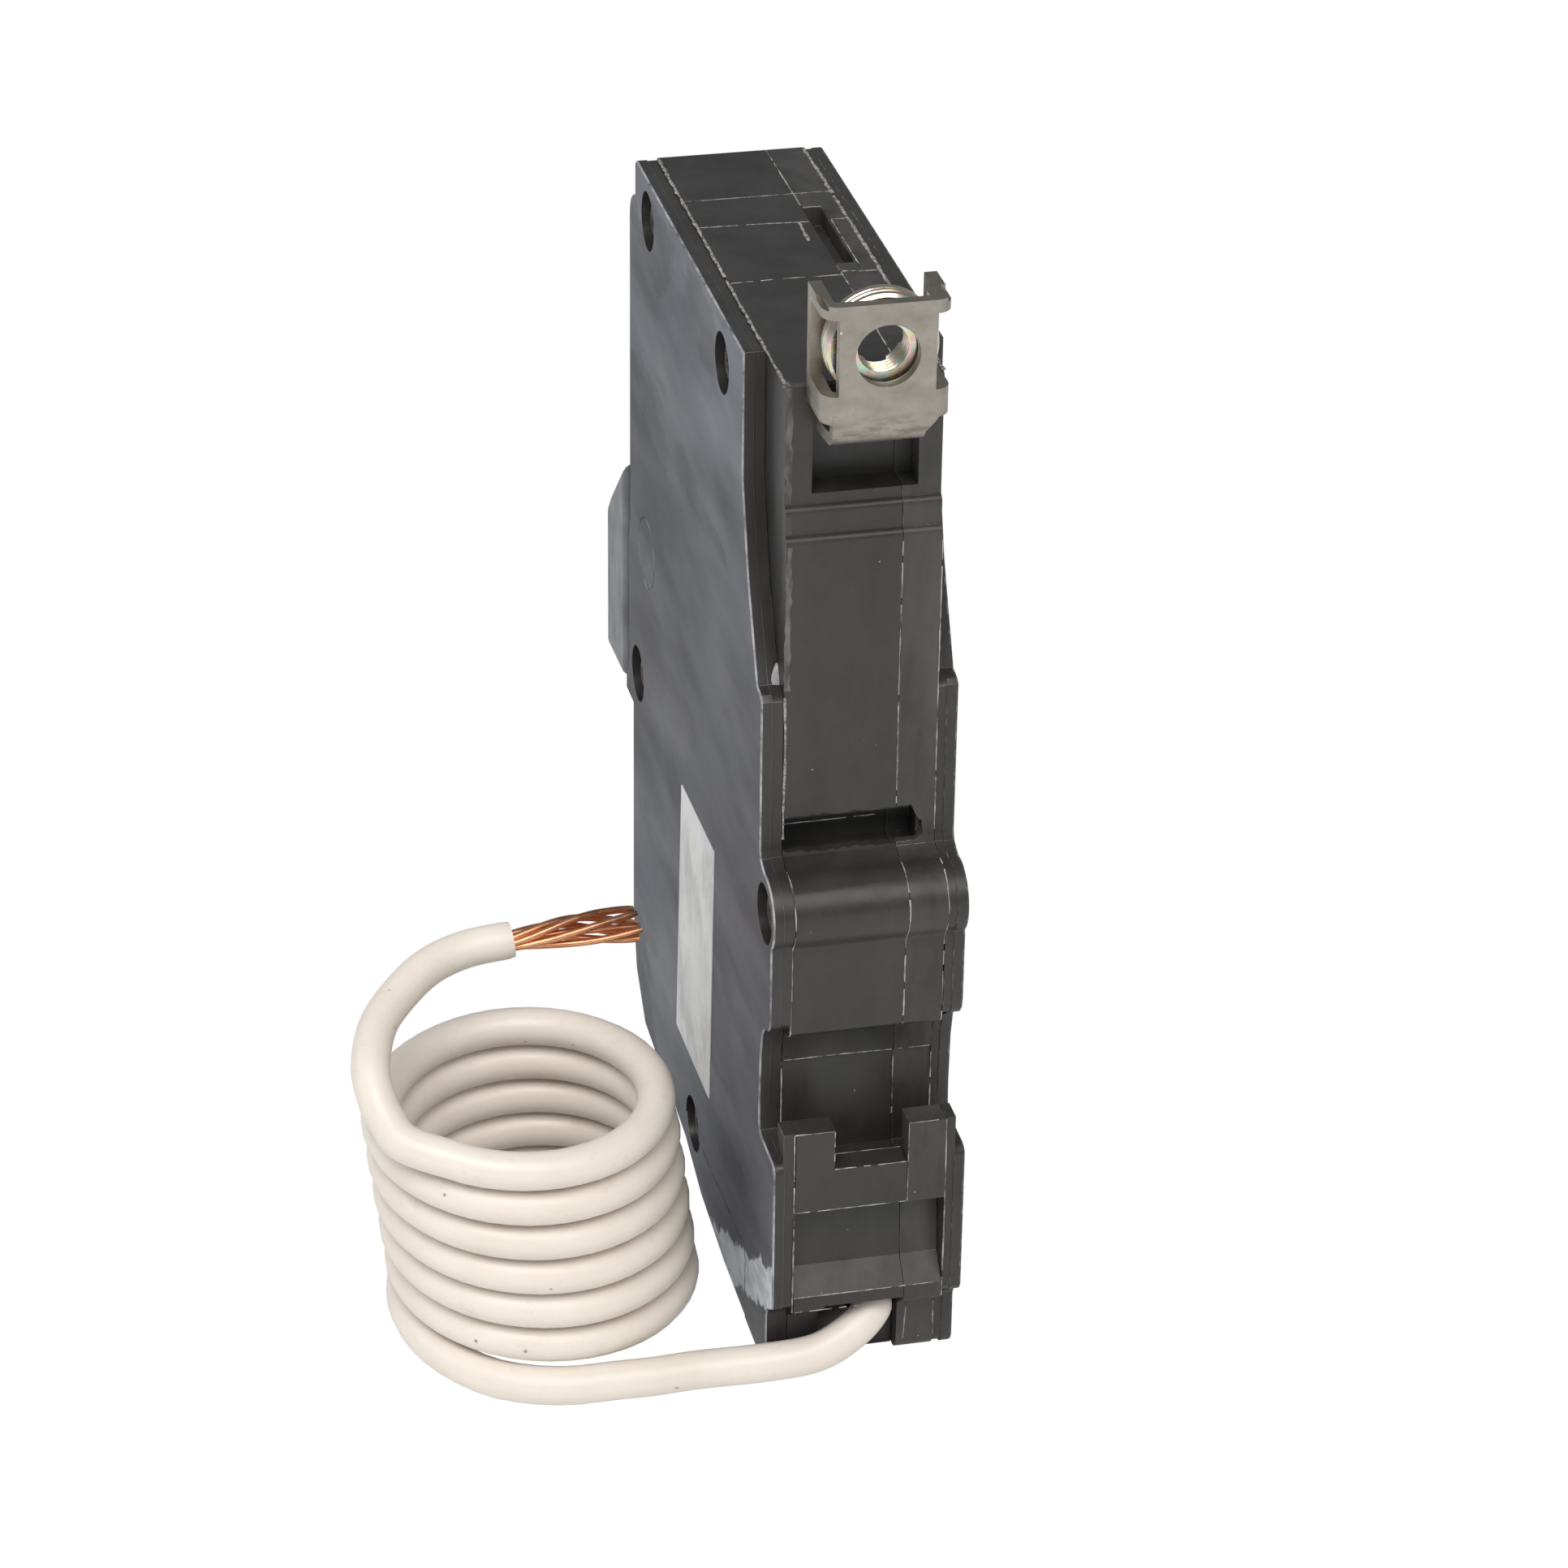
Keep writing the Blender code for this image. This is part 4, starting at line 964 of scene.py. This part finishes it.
seams += [
    (faint, 0.13, 0.08, BACK, on_rear(-5.51, (-7.47, 28.3), (-7.4, 18), (-7.45, 8.0))),
    (faint, 0.12, 0.08, BACK, on_rear(-5.51, (7.57, 28.3), (7.6, 18), (7.57, 8.0))),
    (faint, 0.12, 0.12, BACK, on_rear(-5.51, (-7.4, 28.3), (-3.5, 28.28))),
    (faint, 0.12, 0.12, BACK, on_rear(-5.51, (-3.48, 28.2), (-3.48, 24.1))),
    (faint, 0.12, 0.12, BACK, on_rear(-5.51, (-3.4, 23.97), (3.65, 23.97))),
    (faint, 0.12, 0.12, BACK, on_rear(-5.51, (-7.3, 19.45), (3.7, 19.45))),
    (faint, 0.12, 0.12, BACK, on_rear(-5.51, (3.85, 28.3), (7.5, 28.3))),
    (faint, 0.12, 0.12, BACK, on_rear(-5.51, (3.85, 28.2), (3.85, 19.5))),
    (faint, 0.12, 0.12, BACK, on_rear(-2.82, (-3.4, 23.98), (3.7, 23.98))),
    (faint, 0.12, 0.12, BACK, on_rear(-5.51, (-7.3, 9.62), (7.4, 9.62))),
    (faint, 0.12, 0.12, BACK, on_rear(-5.51, (-7.2, 7.95), (-0.5, 7.95))),
    (faint, 0.18, 0.03, (0, -1, 0.1), [(-7.1, 0.985, 32.85), (-2, 0.98, 32.9), (3.6, 0.985, 32.8)]),
    (faint, 0.12, 0.1, (0, -1, 0.1), on_rear(0.985, (3.9, 32.8), (7.4, 32.75))),
    (worn, 0.6, 0.0, (-1, 0, 0), [(-9.53, y, z) for y, z in crease_run]),
    (faint, 0.14, 0.0, BACK, on_rear(-2.82, (7.5, 5.6), (7.52, 1.6))),
    (faint, 0.12, 0.0, BACK, on_rear(-2.82, (4.75, 5.8), (4.5, 1.6))),
    (faint, 0.10, 0.05, (0, -1, 0.3), on_rear(3.5, (-7.1, 57.4), (2.0, 57.5))),
]
for seam in seams:
    flash_line(*seam, dice)
for name, shape, finish in (
    ("bold_flash", bold, pale_flash()),
    ("thin_flash_lines", faint, thin_flash()),
    ("worn_corner", worn, worn_corner()),
):
    bmesh.ops.delete(shape, geom=[v for v in shape.verts if not v.link_faces], context="VERTS")
    bmesh.ops.recalc_face_normals(shape, faces=shape.faces)
    line = piece(name, shape, [finish], 50)
    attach(line, "case")

# ---------------------------------------------------------------------------------------------
# Glue fillet: a small drop of grey resin in the corner of the left cover's notch, drawn up to a
# point against the main layer's side.
drop = bmesh.new()
rows = []
for height, spread in ((72.0, 1.0), (72.35, 0.92), (72.8, 0.72), (73.3, 0.42), (73.8, 0.12)):
    rows.append([
        drop.verts.new((-7.32 - 1.1 * spread * math.sin(a), 5.0 + spread * math.cos(a), height))
        for a in [math.pi * k / 10 for k in range(11)]
    ])
for a, b in zip(rows, rows[1:]):
    for k in range(10):
        drop.faces.new((a[k], a[k + 1], b[k + 1], b[k]))
    drop.faces.new((a[10], a[0], b[0], b[10]))
drop.faces.new(rows[0])
drop.faces.new(rows[-1])
bmesh.ops.recalc_face_normals(drop, faces=drop.faces)


def grey_resin():
    f = Finish("grey_resin", specular=0.5)
    tone = f.blend(f.step(f.grain(0.6, 3), 0.35, 0.7), (0.30, 0.28, 0.30), (0.38, 0.36, 0.37))
    f.bump(f.grain(0.5, 3), 0.03)
    return f.done(tone, f.step(f.grain(0.8, 2), 0.3, 0.7, 0.25, 0.4))


resin = piece("resin_drop", drop, [grey_resin()], 60)
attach(resin, "case")

# ---------------------------------------------------------------------------------------------
# Side label: a blank grey sticker pressed onto the left cover, with a satin face that has picked
# up grey rubs along the grain of the cover below it.
corners = [(21.2, 45.0), (22.6, 15.6), (38.3, 15.3), (36.4, 44.6)]
CORNER_CUT = 0.35
sheet_points = []
for i, corner in enumerate(corners):
    here, back, on = Vector(corner), Vector(corners[i - 1]), Vector(corners[(i + 1) % 4])
    for t in range(5):
        a = here + (back - here).normalized() * CORNER_CUT * (1 - t / 4)
        b = here + (on - here).normalized() * CORNER_CUT * (t / 4)
        sheet_points.append(tuple((a + b) / 2))


def sticker():
    """Grey paper under a clear film, mottled, with long soft rubs."""
    f = Finish("sticker_film", specular=0.35)
    rub = f.step(f.grain((3, 5, 8), 4, 0.6), 0.38, 0.64)
    tone = f.blend(rub, (0.66, 0.66, 0.65), (0.50, 0.50, 0.495))
    tone = f.blend(f.step(f.grain((2, 4, 5), 5, 0.7, 4), 0.54, 0.70, 0, 0.6), tone, (0.78, 0.775, 0.75))
    tone = f.blend(f.sum("MULTIPLY", f.scratches((2, 3, 8), 0.008, 0.3, 2), 0.4), tone, (0.25, 0.25, 0.25))
    tone = f.blend(f.specks(2.6, 0.06, 0.2), tone, (0.24, 0.22, 0.2))
    f.bump(f.grain((3, 2, 6), 4), 0.03)
    return f.done(tone, f.step(rub, 0, 1, 0.38, 0.55))


label = piece("blank_label", slab(sheet_points, -9.61, -9.5), [sticker()], 40)
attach(label, "case")
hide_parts("side_label")

# ---------------------------------------------------------------------------------------------
# Rivets: five tubular steel rivets pull the four layers together. Their rolled heads sit at the
# bottom of the covers' pockets and have oxidised dark.


def ground_steel():
    """Plain steel, oxidised dark brown in its pocket."""
    f = Finish("oxidised_steel", metallic=1.0)
    rust = f.step(f.grain(0.9, 5, 0.7), 0.35, 0.7)
    tone = f.blend(rust, (0.10, 0.085, 0.075), (0.035, 0.028, 0.024))
    f.bump(f.grain(0.35, 4, 0.7), 0.03)
    return f.done(tone, f.step(rust, 0, 1, 0.42, 0.68))


rivet_steel = ground_steel()
head = [(8.90, 0.78), (8.95, 1.05), (8.93, 1.5), (8.78, 2.0), (8.55, 2.28), (8.32, 2.3)]
head += [(8.28, 1.9), (8.26, 1.2)]
rivet_profile = head + [(-a, r) for a, r in reversed(head)] + [(-8.7, 0.7), (8.7, 0.7)]
for i, (y, z) in enumerate(rivet_places):
    rivet = piece(f"tubular_rivet_{i + 1}", lathe(rivet_profile, "X", (0, y, z), 32), [rivet_steel], 40)
    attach(rivet, "case")
    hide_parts(f"rivet_{i + 1}")

# ---------------------------------------------------------------------------------------------
# Line clip: a channel pressed from 1.2 mm steel and tin plated. Both flanges are pierced for the
# nut, and a strap from its foot runs into the case to the fixed contact.


def bent_channel():
    """The channel's section, seen from above, with its two bends."""
    left, right_side, back, face, skin = -5.5, 6.4, 2.9, -3.5, 1.2
    outer = [(left, back), *bow((left + 1.5, face + 1.5), 1.5, 180, 270, 6)]
    outer += [*bow((right_side - 1.5, face + 1.5), 1.5, 270, 360, 6), (right_side, back)]
    inner = [(right_side - skin, back), *bow((right_side - 1.5, face + 1.5), 0.35, 360, 270, 4)]
    inner += [*bow((left + 1.5, face + 1.5), 0.35, 270, 180, 4), (left + skin, back)]
    return outer + inner


def tin_plate():
    """Tin-plated steel, dull and warm, with rolling lines, a painted band of shade low down and brown
    specks.
    """
    f = Finish("tin_plate", metallic=1.0)
    cloud = f.step(f.grain(3.5, 4, 0.6), 0.33, 0.7)
    tone = f.blend(cloud, (0.40, 0.373, 0.328), (0.31, 0.285, 0.247))
    streaks = f.step(f.grain((2.5, 2.5, 0.9), 4, 0.7, 2), 0.45, 0.62, 0, 0.65)
    # Painted shade: a dark band, broken up by streaks, where the strap bends down into the case's window.
    bend_shade = f.sum("MULTIPLY", f.band(f.z, 99.5, 101.8, 0.6), streaks)
    tone = f.blend(bend_shade, tone, (0.16, 0.14, 0.12))
    spots = f.step(f.grain(0.8, 5, 0.75, 5), 0.60, 0.74, 0, 0.55)
    tone = f.blend(spots, tone, (0.24, 0.20, 0.15))
    tone = f.blend(f.specks(2.0, 0.09, 0.3, 3), tone, (0.75, 0.72, 0.66))
    f.bump(f.grain((4.0, 4.0, 0.25), 3), 0.006)
    f.bump(f.grain(0.6, 4), 0.012)
    return f.done(tone, f.step(f.grain((2, 2, 1), 4, 0.6, 3), 0.3, 0.7, 0.36, 0.55))


strap_run = [(2.4, 98.4), (13.0, 98.4), (13.0, 86.0), (14.2, 86.0), (14.2, 99.6), (2.4, 99.6)]
bend_out = [(-3.5, 102.4), *bow((-1.6, 100.9), 1.9, 180, 270, 6), (3.2, 98.4), (3.2, 99.6)]
bend_out += [*bow((-1.6, 100.9), 0.7, 270, 180, 4), (-2.3, 102.4)]
clip_blank = slab(bent_channel(), 101.55, 113.0, "Z")
clip_blank = shaped(clip_blank, [slab(bend_out, -4.55, 5.15), slab(strap_run, -3.3, 2.2)], "UNION")
clip_shape = shaped(
    clip_blank,
    [
        drill("Y", (107.95, 0.45), -6, 0, 3.0, 48),
        brick((-12, -4, 104.3), (-4.05, 1.75, 111.7)),
        brick((4.9, -4, 104.3), (12, 1.75, 111.7)),
        slab([(97, 3.9), (97, 8), (101.6, 8), (101.6, 5.3), (100.2, 4.1)], -9, 0, "Y"),
        brick((-9, -9, 112.55), (-5.0, -0.2, 114)),
        brick((5.9, -9, 112.55), (9, -0.2, 114)),
    ],
)
line_clip = seat(piece("channel_clip", eased(clip_shape, 0.16), [tin_plate()] * 2, 40))
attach(line_clip, "case")
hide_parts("line_clip")

# ---------------------------------------------------------------------------------------------
# Line nut: a flanged steel nut, turned and tapped, zinc plated with a yellow passivation that
# shifts to pink and green. It is captive in the clip and turns freely there.


def yellow_zinc():
    f = Finish("yellow_zinc", metallic=1.0)
    drift = f.grain((2.6, 0.9, 2.6), 2, 0.5)
    tone = f.blend(f.step(drift, 0.36, 0.46), (0.62, 0.66, 0.66), (0.70, 0.66, 0.38))
    tone = f.blend(f.step(drift, 0.48, 0.54), tone, (0.72, 0.48, 0.50))
    tone = f.blend(f.step(drift, 0.56, 0.64), tone, (0.50, 0.66, 0.48))
    tone = f.blend(f.step(f.grain(0.4, 3, 0.6, 3), 0.55, 0.8, 0, 0.5), tone, (0.86, 0.86, 0.82))
    f.bump(f.grain((1.2, 0.12, 1.2), 2), 0.006)
    return f.done(tone, f.step(f.grain(1.2, 3, 0.6, 6), 0.3, 0.7, 0.16, 0.34))


thread = []
for i in range(6):
    root = 1.7 - 0.58 * i
    thread += [(root, 2.72), (root - 0.26, 2.38), (root - 0.36, 2.38)]
nut_profile = [(-1.62, 2.95), (-1.7, 3.3), (-1.7, 4.9), (-1.45, 5.2), (-1.1, 5.28), (-0.95, 5.12)]
nut_profile += [(-0.8, 5.28), (-0.5, 5.28), (-0.35, 5.14), (-0.2, 5.28), (0.45, 5.28), (0.7, 5.0)]
nut_profile += [(0.7, 4.35), (1.6, 4.3), (1.8, 4.1), (1.8, 3.0)]
nut_blank = lathe(nut_profile + thread, "Y", (0.45, 0, 107.95), 64)
cross = [brick((-0.55, 0.75, 99), (1.45, 4, 117)), brick((-9, 0.75, 106.95), (9, 4, 108.95))]
line_nut = seat(piece("flanged_nut", shaped(nut_blank, cross), [yellow_zinc()], 30))
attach(line_nut, "line_nut")
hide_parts("line_nut")

# ---------------------------------------------------------------------------------------------
# Handle: paddle, stem and hub moulded in one from black nylon, with grip ribs across its tip. It
# turns on a steel pin and tips the contact arm over centre.


def black_nylon():
    f = Finish("handle_nylon", specular=0.5)
    # The bluish grey, far paler than black nylon, is partly a painted sheen.
    tone = f.blend(f.step(f.grain(5, 4), 0.35, 0.7), (0.10, 0.102, 0.112), (0.165, 0.170, 0.188))
    tone = f.blend(f.sum("MULTIPLY", f.scratches((2, 2, 7), 0.010, 0.4), 0.5), tone, (0.30, 0.31, 0.33))
    tone = f.blend(f.specks(2.0, 0.08, 0.25), tone, (0.40, 0.40, 0.42))
    f.bump(f.grain(0.3, 3), 0.012)
    return f.done(tone, f.step(f.grain((2, 2, 6), 4), 0.3, 0.7, 0.32, 0.5))


paddle = slab([(67.3, 41.0), (76.3, 40.75), (76.3, 57.0), (74.6, 59.0), (67.3, 66.0)], -9.2, 9.2)
corners = [e for e in paddle.edges if e.calc_face_angle(0) > 0.5]
handle_shape = shaped(
    rounded(paddle, corners, 0.75),
    [
        slab([(42.0, 53.4), (68.3, 52.0), (68.3, 59.4), (42.0, 60.6)], -4.6, 1.4),
        drill("X", (42.0, 57.0), -6.0, 1.8, 5.0, 40),
    ],
    "UNION",
)
ribs = [brick((-7.2, 75.95, 43.4 + 2.0 * i), (7.2, 77, 44.2 + 2.0 * i)) for i in range(6)]
handle_shape = shaped(handle_shape, [drill("X", (42.0, 57.0), -12, 6, 1.7, 24), *ribs])
handle = seat(piece("paddle_handle", eased(handle_shape, 0.12, 40), [black_nylon()] * 2, 40))
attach(handle, "handle")
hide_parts("handle")

# ---------------------------------------------------------------------------------------------
# Test button: an off-white nylon key in the nose, with a dished face. Its flange keeps it in, a
# spring behind it pushes it out, and its stem presses the test leaf.


def white_nylon():
    f = Finish("white_nylon", specular=0.5)
    tone = f.blend(f.step(f.grain(4, 3), 0.35, 0.7), (0.74, 0.73, 0.69), (0.66, 0.645, 0.60))
    tone = f.blend(f.step(f.grain(0.8, 5, 0.7, 3), 0.64, 0.8, 0, 0.35), tone, (0.40, 0.38, 0.34))
    f.bump(f.grain(0.4, 3), 0.012)
    return f.done(tone, f.step(f.grain(2, 3), 0.3, 0.7, 0.3, 0.45))


key = brick((-4.7, 59.4, 79.9), (1.5, 64.2, 88.1))
rim = [e for e in key.edges if all(v.co.y > 64 for v in e.verts)]
flange = brick((-5.9, 59.0, 78.8), (2.1, 60.1, 89.2))
stem = drill("Y", (84.0, -1.6), 56.2, 59.6, 1.2, 20)
dish = slab(bow((-1.6, 71.0), 7.2, 0, 350, 35), 81.0, 87.0, "Z")
button_shape = shaped(shaped(rounded(key, rim, 0.6), [flange, stem], "UNION"), [dish])
nylon_white = white_nylon()
button = seat(piece("test_key", eased(button_shape, 0.12, 40), [nylon_white] * 2, 40))
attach(button, "test_button")
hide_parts("test_button")

# ---------------------------------------------------------------------------------------------
# Springs, pins, frames and levers: drawn wire and pressed sheet, of plain or bright steel, riveted,
# hooked or laid in pockets of the main layer before it is closed.


def redress(finish, *names):
    """Gives CAD pieces whose shape is right their real finish."""
    for name in names:
        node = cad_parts[name]
        for slot in node.material_slots:
            slot.material = finish
        if not node.material_slots:
            node.data.materials.append(finish)


def rolled_steel():
    f = Finish("rolled_steel", metallic=1.0)
    tone = f.blend(f.step(f.grain(2.5, 4), 0.35, 0.7), (0.50, 0.48, 0.44), (0.38, 0.36, 0.33))
    tone = f.blend(f.step(f.grain(0.7, 5, 0.7, 3), 0.62, 0.78, 0, 0.6), tone, (0.22, 0.17, 0.12))
    f.bump(f.grain((0.3, 3, 3), 3), 0.006)
    return f.done(tone, f.step(f.grain((1, 1, 3), 3), 0.3, 0.7, 0.28, 0.48))


pins_and_springs = "handle_pin", "arm_pin", "lever_pin", "toggle_spring", "button_spring"
frames_and_levers = "magnet_yoke", "armature", "trip_lever", "solenoid_frame"
redress(rolled_steel(), *pins_and_springs, *frames_and_levers)

# ---------------------------------------------------------------------------------------------
# Screws, clamps and plunger: turned or pressed steel, zinc plated clear, a little cloudy and
# yellowed in patches.


def clear_zinc():
    f = Finish("clear_zinc", metallic=1.0)
    tone = f.blend(f.step(f.grain(1.2, 4, 0.65), 0.35, 0.7), (0.66, 0.67, 0.68), (0.54, 0.55, 0.55))
    tone = f.blend(f.step(f.grain(2.5, 3, 0.6, 6), 0.5, 0.75, 0, 0.5), tone, (0.66, 0.62, 0.48))
    f.bump(f.grain(0.4, 4), 0.01)
    return f.done(tone, f.step(f.grain(1.5, 3), 0.3, 0.7, 0.24, 0.42))


redress(clear_zinc(), "hot_clamp", "neutral_clamp", "hot_screw", "neutral_screw", "solenoid_plunger")

# ---------------------------------------------------------------------------------------------
# Contacts and the tinned parts: silver alloy buttons brazed to copper, the neutral lug and the
# capacitor's can, bright where new and warm grey where they have dulled.


def dull_silver():
    f = Finish("dull_silver", metallic=1.0)
    tone = f.blend(f.step(f.grain(1.0, 4), 0.35, 0.7), (0.82, 0.80, 0.76), (0.62, 0.59, 0.53))
    tone = f.blend(f.step(f.grain(0.5, 4, 0.7, 2), 0.62, 0.8, 0, 0.5), tone, (0.26, 0.22, 0.18))
    f.bump(f.grain(0.3, 4), 0.012)
    return f.done(tone, f.step(f.grain(0.9, 3), 0.3, 0.7, 0.26, 0.46))


redress(dull_silver(), "fixed_contact", "moving_contact", "neutral_lug", "filter_capacitor")

# ---------------------------------------------------------------------------------------------
# Brass parts: the hot lug, the calibration screw, the bimetal and the test leaf, cut or pressed
# and left bare, with brown fingerprints.


def bare_brass():
    f = Finish("bare_brass", metallic=1.0)
    tone = f.blend(f.step(f.grain(2.2, 4), 0.35, 0.7), (0.76, 0.57, 0.25), (0.60, 0.42, 0.17))
    tone = f.blend(f.step(f.grain(1.3, 5, 0.7, 4), 0.60, 0.78, 0, 0.6), tone, (0.30, 0.19, 0.09))
    f.bump(f.grain((0.25, 2, 2), 3), 0.008)
    return f.done(tone, f.step(f.grain(1.4, 3), 0.3, 0.7, 0.26, 0.44))


redress(bare_brass(), "bimetal", "calibration_screw", "hot_lug", "test_leaf")

# ---------------------------------------------------------------------------------------------
# Current path and windings: the contact arm and the load strap of sheet copper, the woven braid,
# the hot conductor and the solenoid's enamelled winding.


def sheet_copper():
    f = Finish("sheet_copper", metallic=1.0)
    tone = f.blend(f.step(f.grain(2.0, 4), 0.35, 0.7), (0.80, 0.38, 0.20), (0.58, 0.24, 0.12))
    tone = f.blend(f.step(f.grain(0.9, 5, 0.7, 5), 0.6, 0.78, 0, 0.6), tone, (0.25, 0.11, 0.07))
    f.bump(f.grain((0.25, 2, 2), 3), 0.008)
    return f.done(tone, f.step(f.grain(1.2, 3), 0.3, 0.7, 0.25, 0.45))


def wound_wire(name, first, second, pitch, metallic):
    """Fine turns laid one above another, with painted shade in the groove between them."""
    f = Finish(name, metallic=metallic)
    turns = f.sum("ABSOLUTE", f.sum("SINE", f.sum("MULTIPLY_ADD", f.z, math.pi / pitch, f.grain(1.5, 2))))
    # The dark second colour in the grooves between turns is painted shade.
    tone = f.blend(turns, second, first)
    tone = f.blend(f.step(f.grain(1.4, 4), 0.55, 0.75, 0, 0.4), tone, second)
    f.bump(turns, 0.05)
    return f.done(tone, f.step(f.grain(1.5, 3), 0.3, 0.7, 0.28, 0.42))


braid = wound_wire("copper_braid", (0.78, 0.38, 0.21), (0.36, 0.15, 0.08), 0.5, 1.0)
winding = wound_wire("enamelled_winding", (0.70, 0.28, 0.12), (0.28, 0.09, 0.04), 0.3, 0.6)
redress(sheet_copper(), "contact_arm", "load_strap", "hot_conductor")
redress(braid, "flexible_braid")
redress(winding, "solenoid_coil")

# ---------------------------------------------------------------------------------------------
# Sensing toroids and test resistor: ferrite rings wound with fine wire and wrapped in amber tape,
# and a moulded resistor of much the same brown.


def amber_tape():
    f = Finish("amber_tape", specular=0.5)
    around = f.sum("ARCTAN2", f.sum("SUBTRACT", f.z, 19.0), f.sum("SUBTRACT", f.y, 14.5))
    wrap = f.sum("ABSOLUTE", f.sum("SINE", f.sum("MULTIPLY", around, 9.0)))
    edge = f.step(wrap, 0.12, 0.0)
    tone = f.blend(f.step(f.grain(1.5, 3), 0.35, 0.7), (0.60, 0.40, 0.09), (0.44, 0.26, 0.05))
    tone = f.blend(f.sum("MULTIPLY", edge, 0.7), tone, (0.22, 0.12, 0.03))
    f.bump(edge, 0.05)
    return f.done(tone, f.step(f.grain(2, 3), 0.3, 0.7, 0.3, 0.45))


redress(amber_tape(), "sensing_toroid", "grounding_toroid", "test_resistor")

# ---------------------------------------------------------------------------------------------
# Neutral conductor inside: wire in plain white insulation, stripped at the lug and threaded through
# both toroids.
redress(nylon_white, "neutral_conductor")

# ---------------------------------------------------------------------------------------------
# Circuit board: 0.8 mm glass-epoxy sheet under green mask, with pale copper tracks and solder
# showing through, stood on edge in the second layer.


def green_mask():
    f = Finish("green_mask", specular=0.5)
    tone = f.blend(f.step(f.grain(3, 3), 0.35, 0.7), (0.020, 0.13, 0.055), (0.035, 0.19, 0.085))
    lanes = []
    for place, pitch, edge, size, shift, share in (
        (f.y, 1.1, 0.30, (2, 9, 5), 3, 0.46),
        (f.z, 0.9, 0.26, (2, 5, 9), 7, 0.50),
    ):
        wave = f.sum("ABSOLUTE", f.sum("SINE", f.sum("MULTIPLY", place, pitch)))
        kept = f.step(f.grain(size, 1, 0.5, shift), share, share + 0.02)
        lanes.append(f.sum("MULTIPLY", f.step(wave, edge, edge - 0.08), kept))
    tracks = f.sum("MAXIMUM", *lanes)
    tone = f.blend(f.sum("MULTIPLY", tracks, 0.7), tone, (0.10, 0.34, 0.15))
    tone = f.blend(f.specks(4.5, 0.16, 0.5), tone, (0.62, 0.61, 0.58))
    f.bump(tracks, 0.03)
    return f.done(tone, f.step(f.grain(2, 3), 0.3, 0.7, 0.28, 0.45))


redress(green_mask(), "circuit_board")

# ---------------------------------------------------------------------------------------------
# Chip and thyristor: black epoxy packages, matt on top with a mould line round them, soldered to
# the board with the case's own fine dust on them.


def chip_epoxy():
    f = Finish("chip_epoxy", specular=0.4)
    tone = f.blend(f.step(f.grain(0.8, 5, 0.7), 0.35, 0.75), (0.016, 0.016, 0.017), (0.045, 0.044, 0.043))
    tone = f.blend(f.specks(1.6, 0.08, 0.2), tone, (0.30, 0.30, 0.29))
    f.bump(f.grain(0.12, 3), 0.01)
    return f.done(tone, f.step(f.grain(1.5, 3), 0.3, 0.7, 0.5, 0.68))


redress(chip_epoxy(), "sense_chip", "thyristor")

# ---------------------------------------------------------------------------------------------
# Varistor: a zinc-oxide disc dipped in blue epoxy, glossy, with a slightly wavy skin and a few
# pinholes where air came out of the dip.


def blue_dip():
    f = Finish("blue_dip", specular=0.55)
    tone = f.blend(f.step(f.grain(2.2, 3), 0.35, 0.7), (0.040, 0.11, 0.36), (0.060, 0.15, 0.44))
    tone = f.blend(f.specks(1.7, 0.07, 0.3), tone, (0.012, 0.03, 0.10))
    f.bump(f.grain(1.6, 2), 0.08)
    return f.done(tone, f.step(f.grain(2, 2), 0.3, 0.7, 0.14, 0.28))


redress(blue_dip(), "varistor")

# ---------------------------------------------------------------------------------------------
# Brings the scene's placements up to date.
bpy.context.view_layer.update()
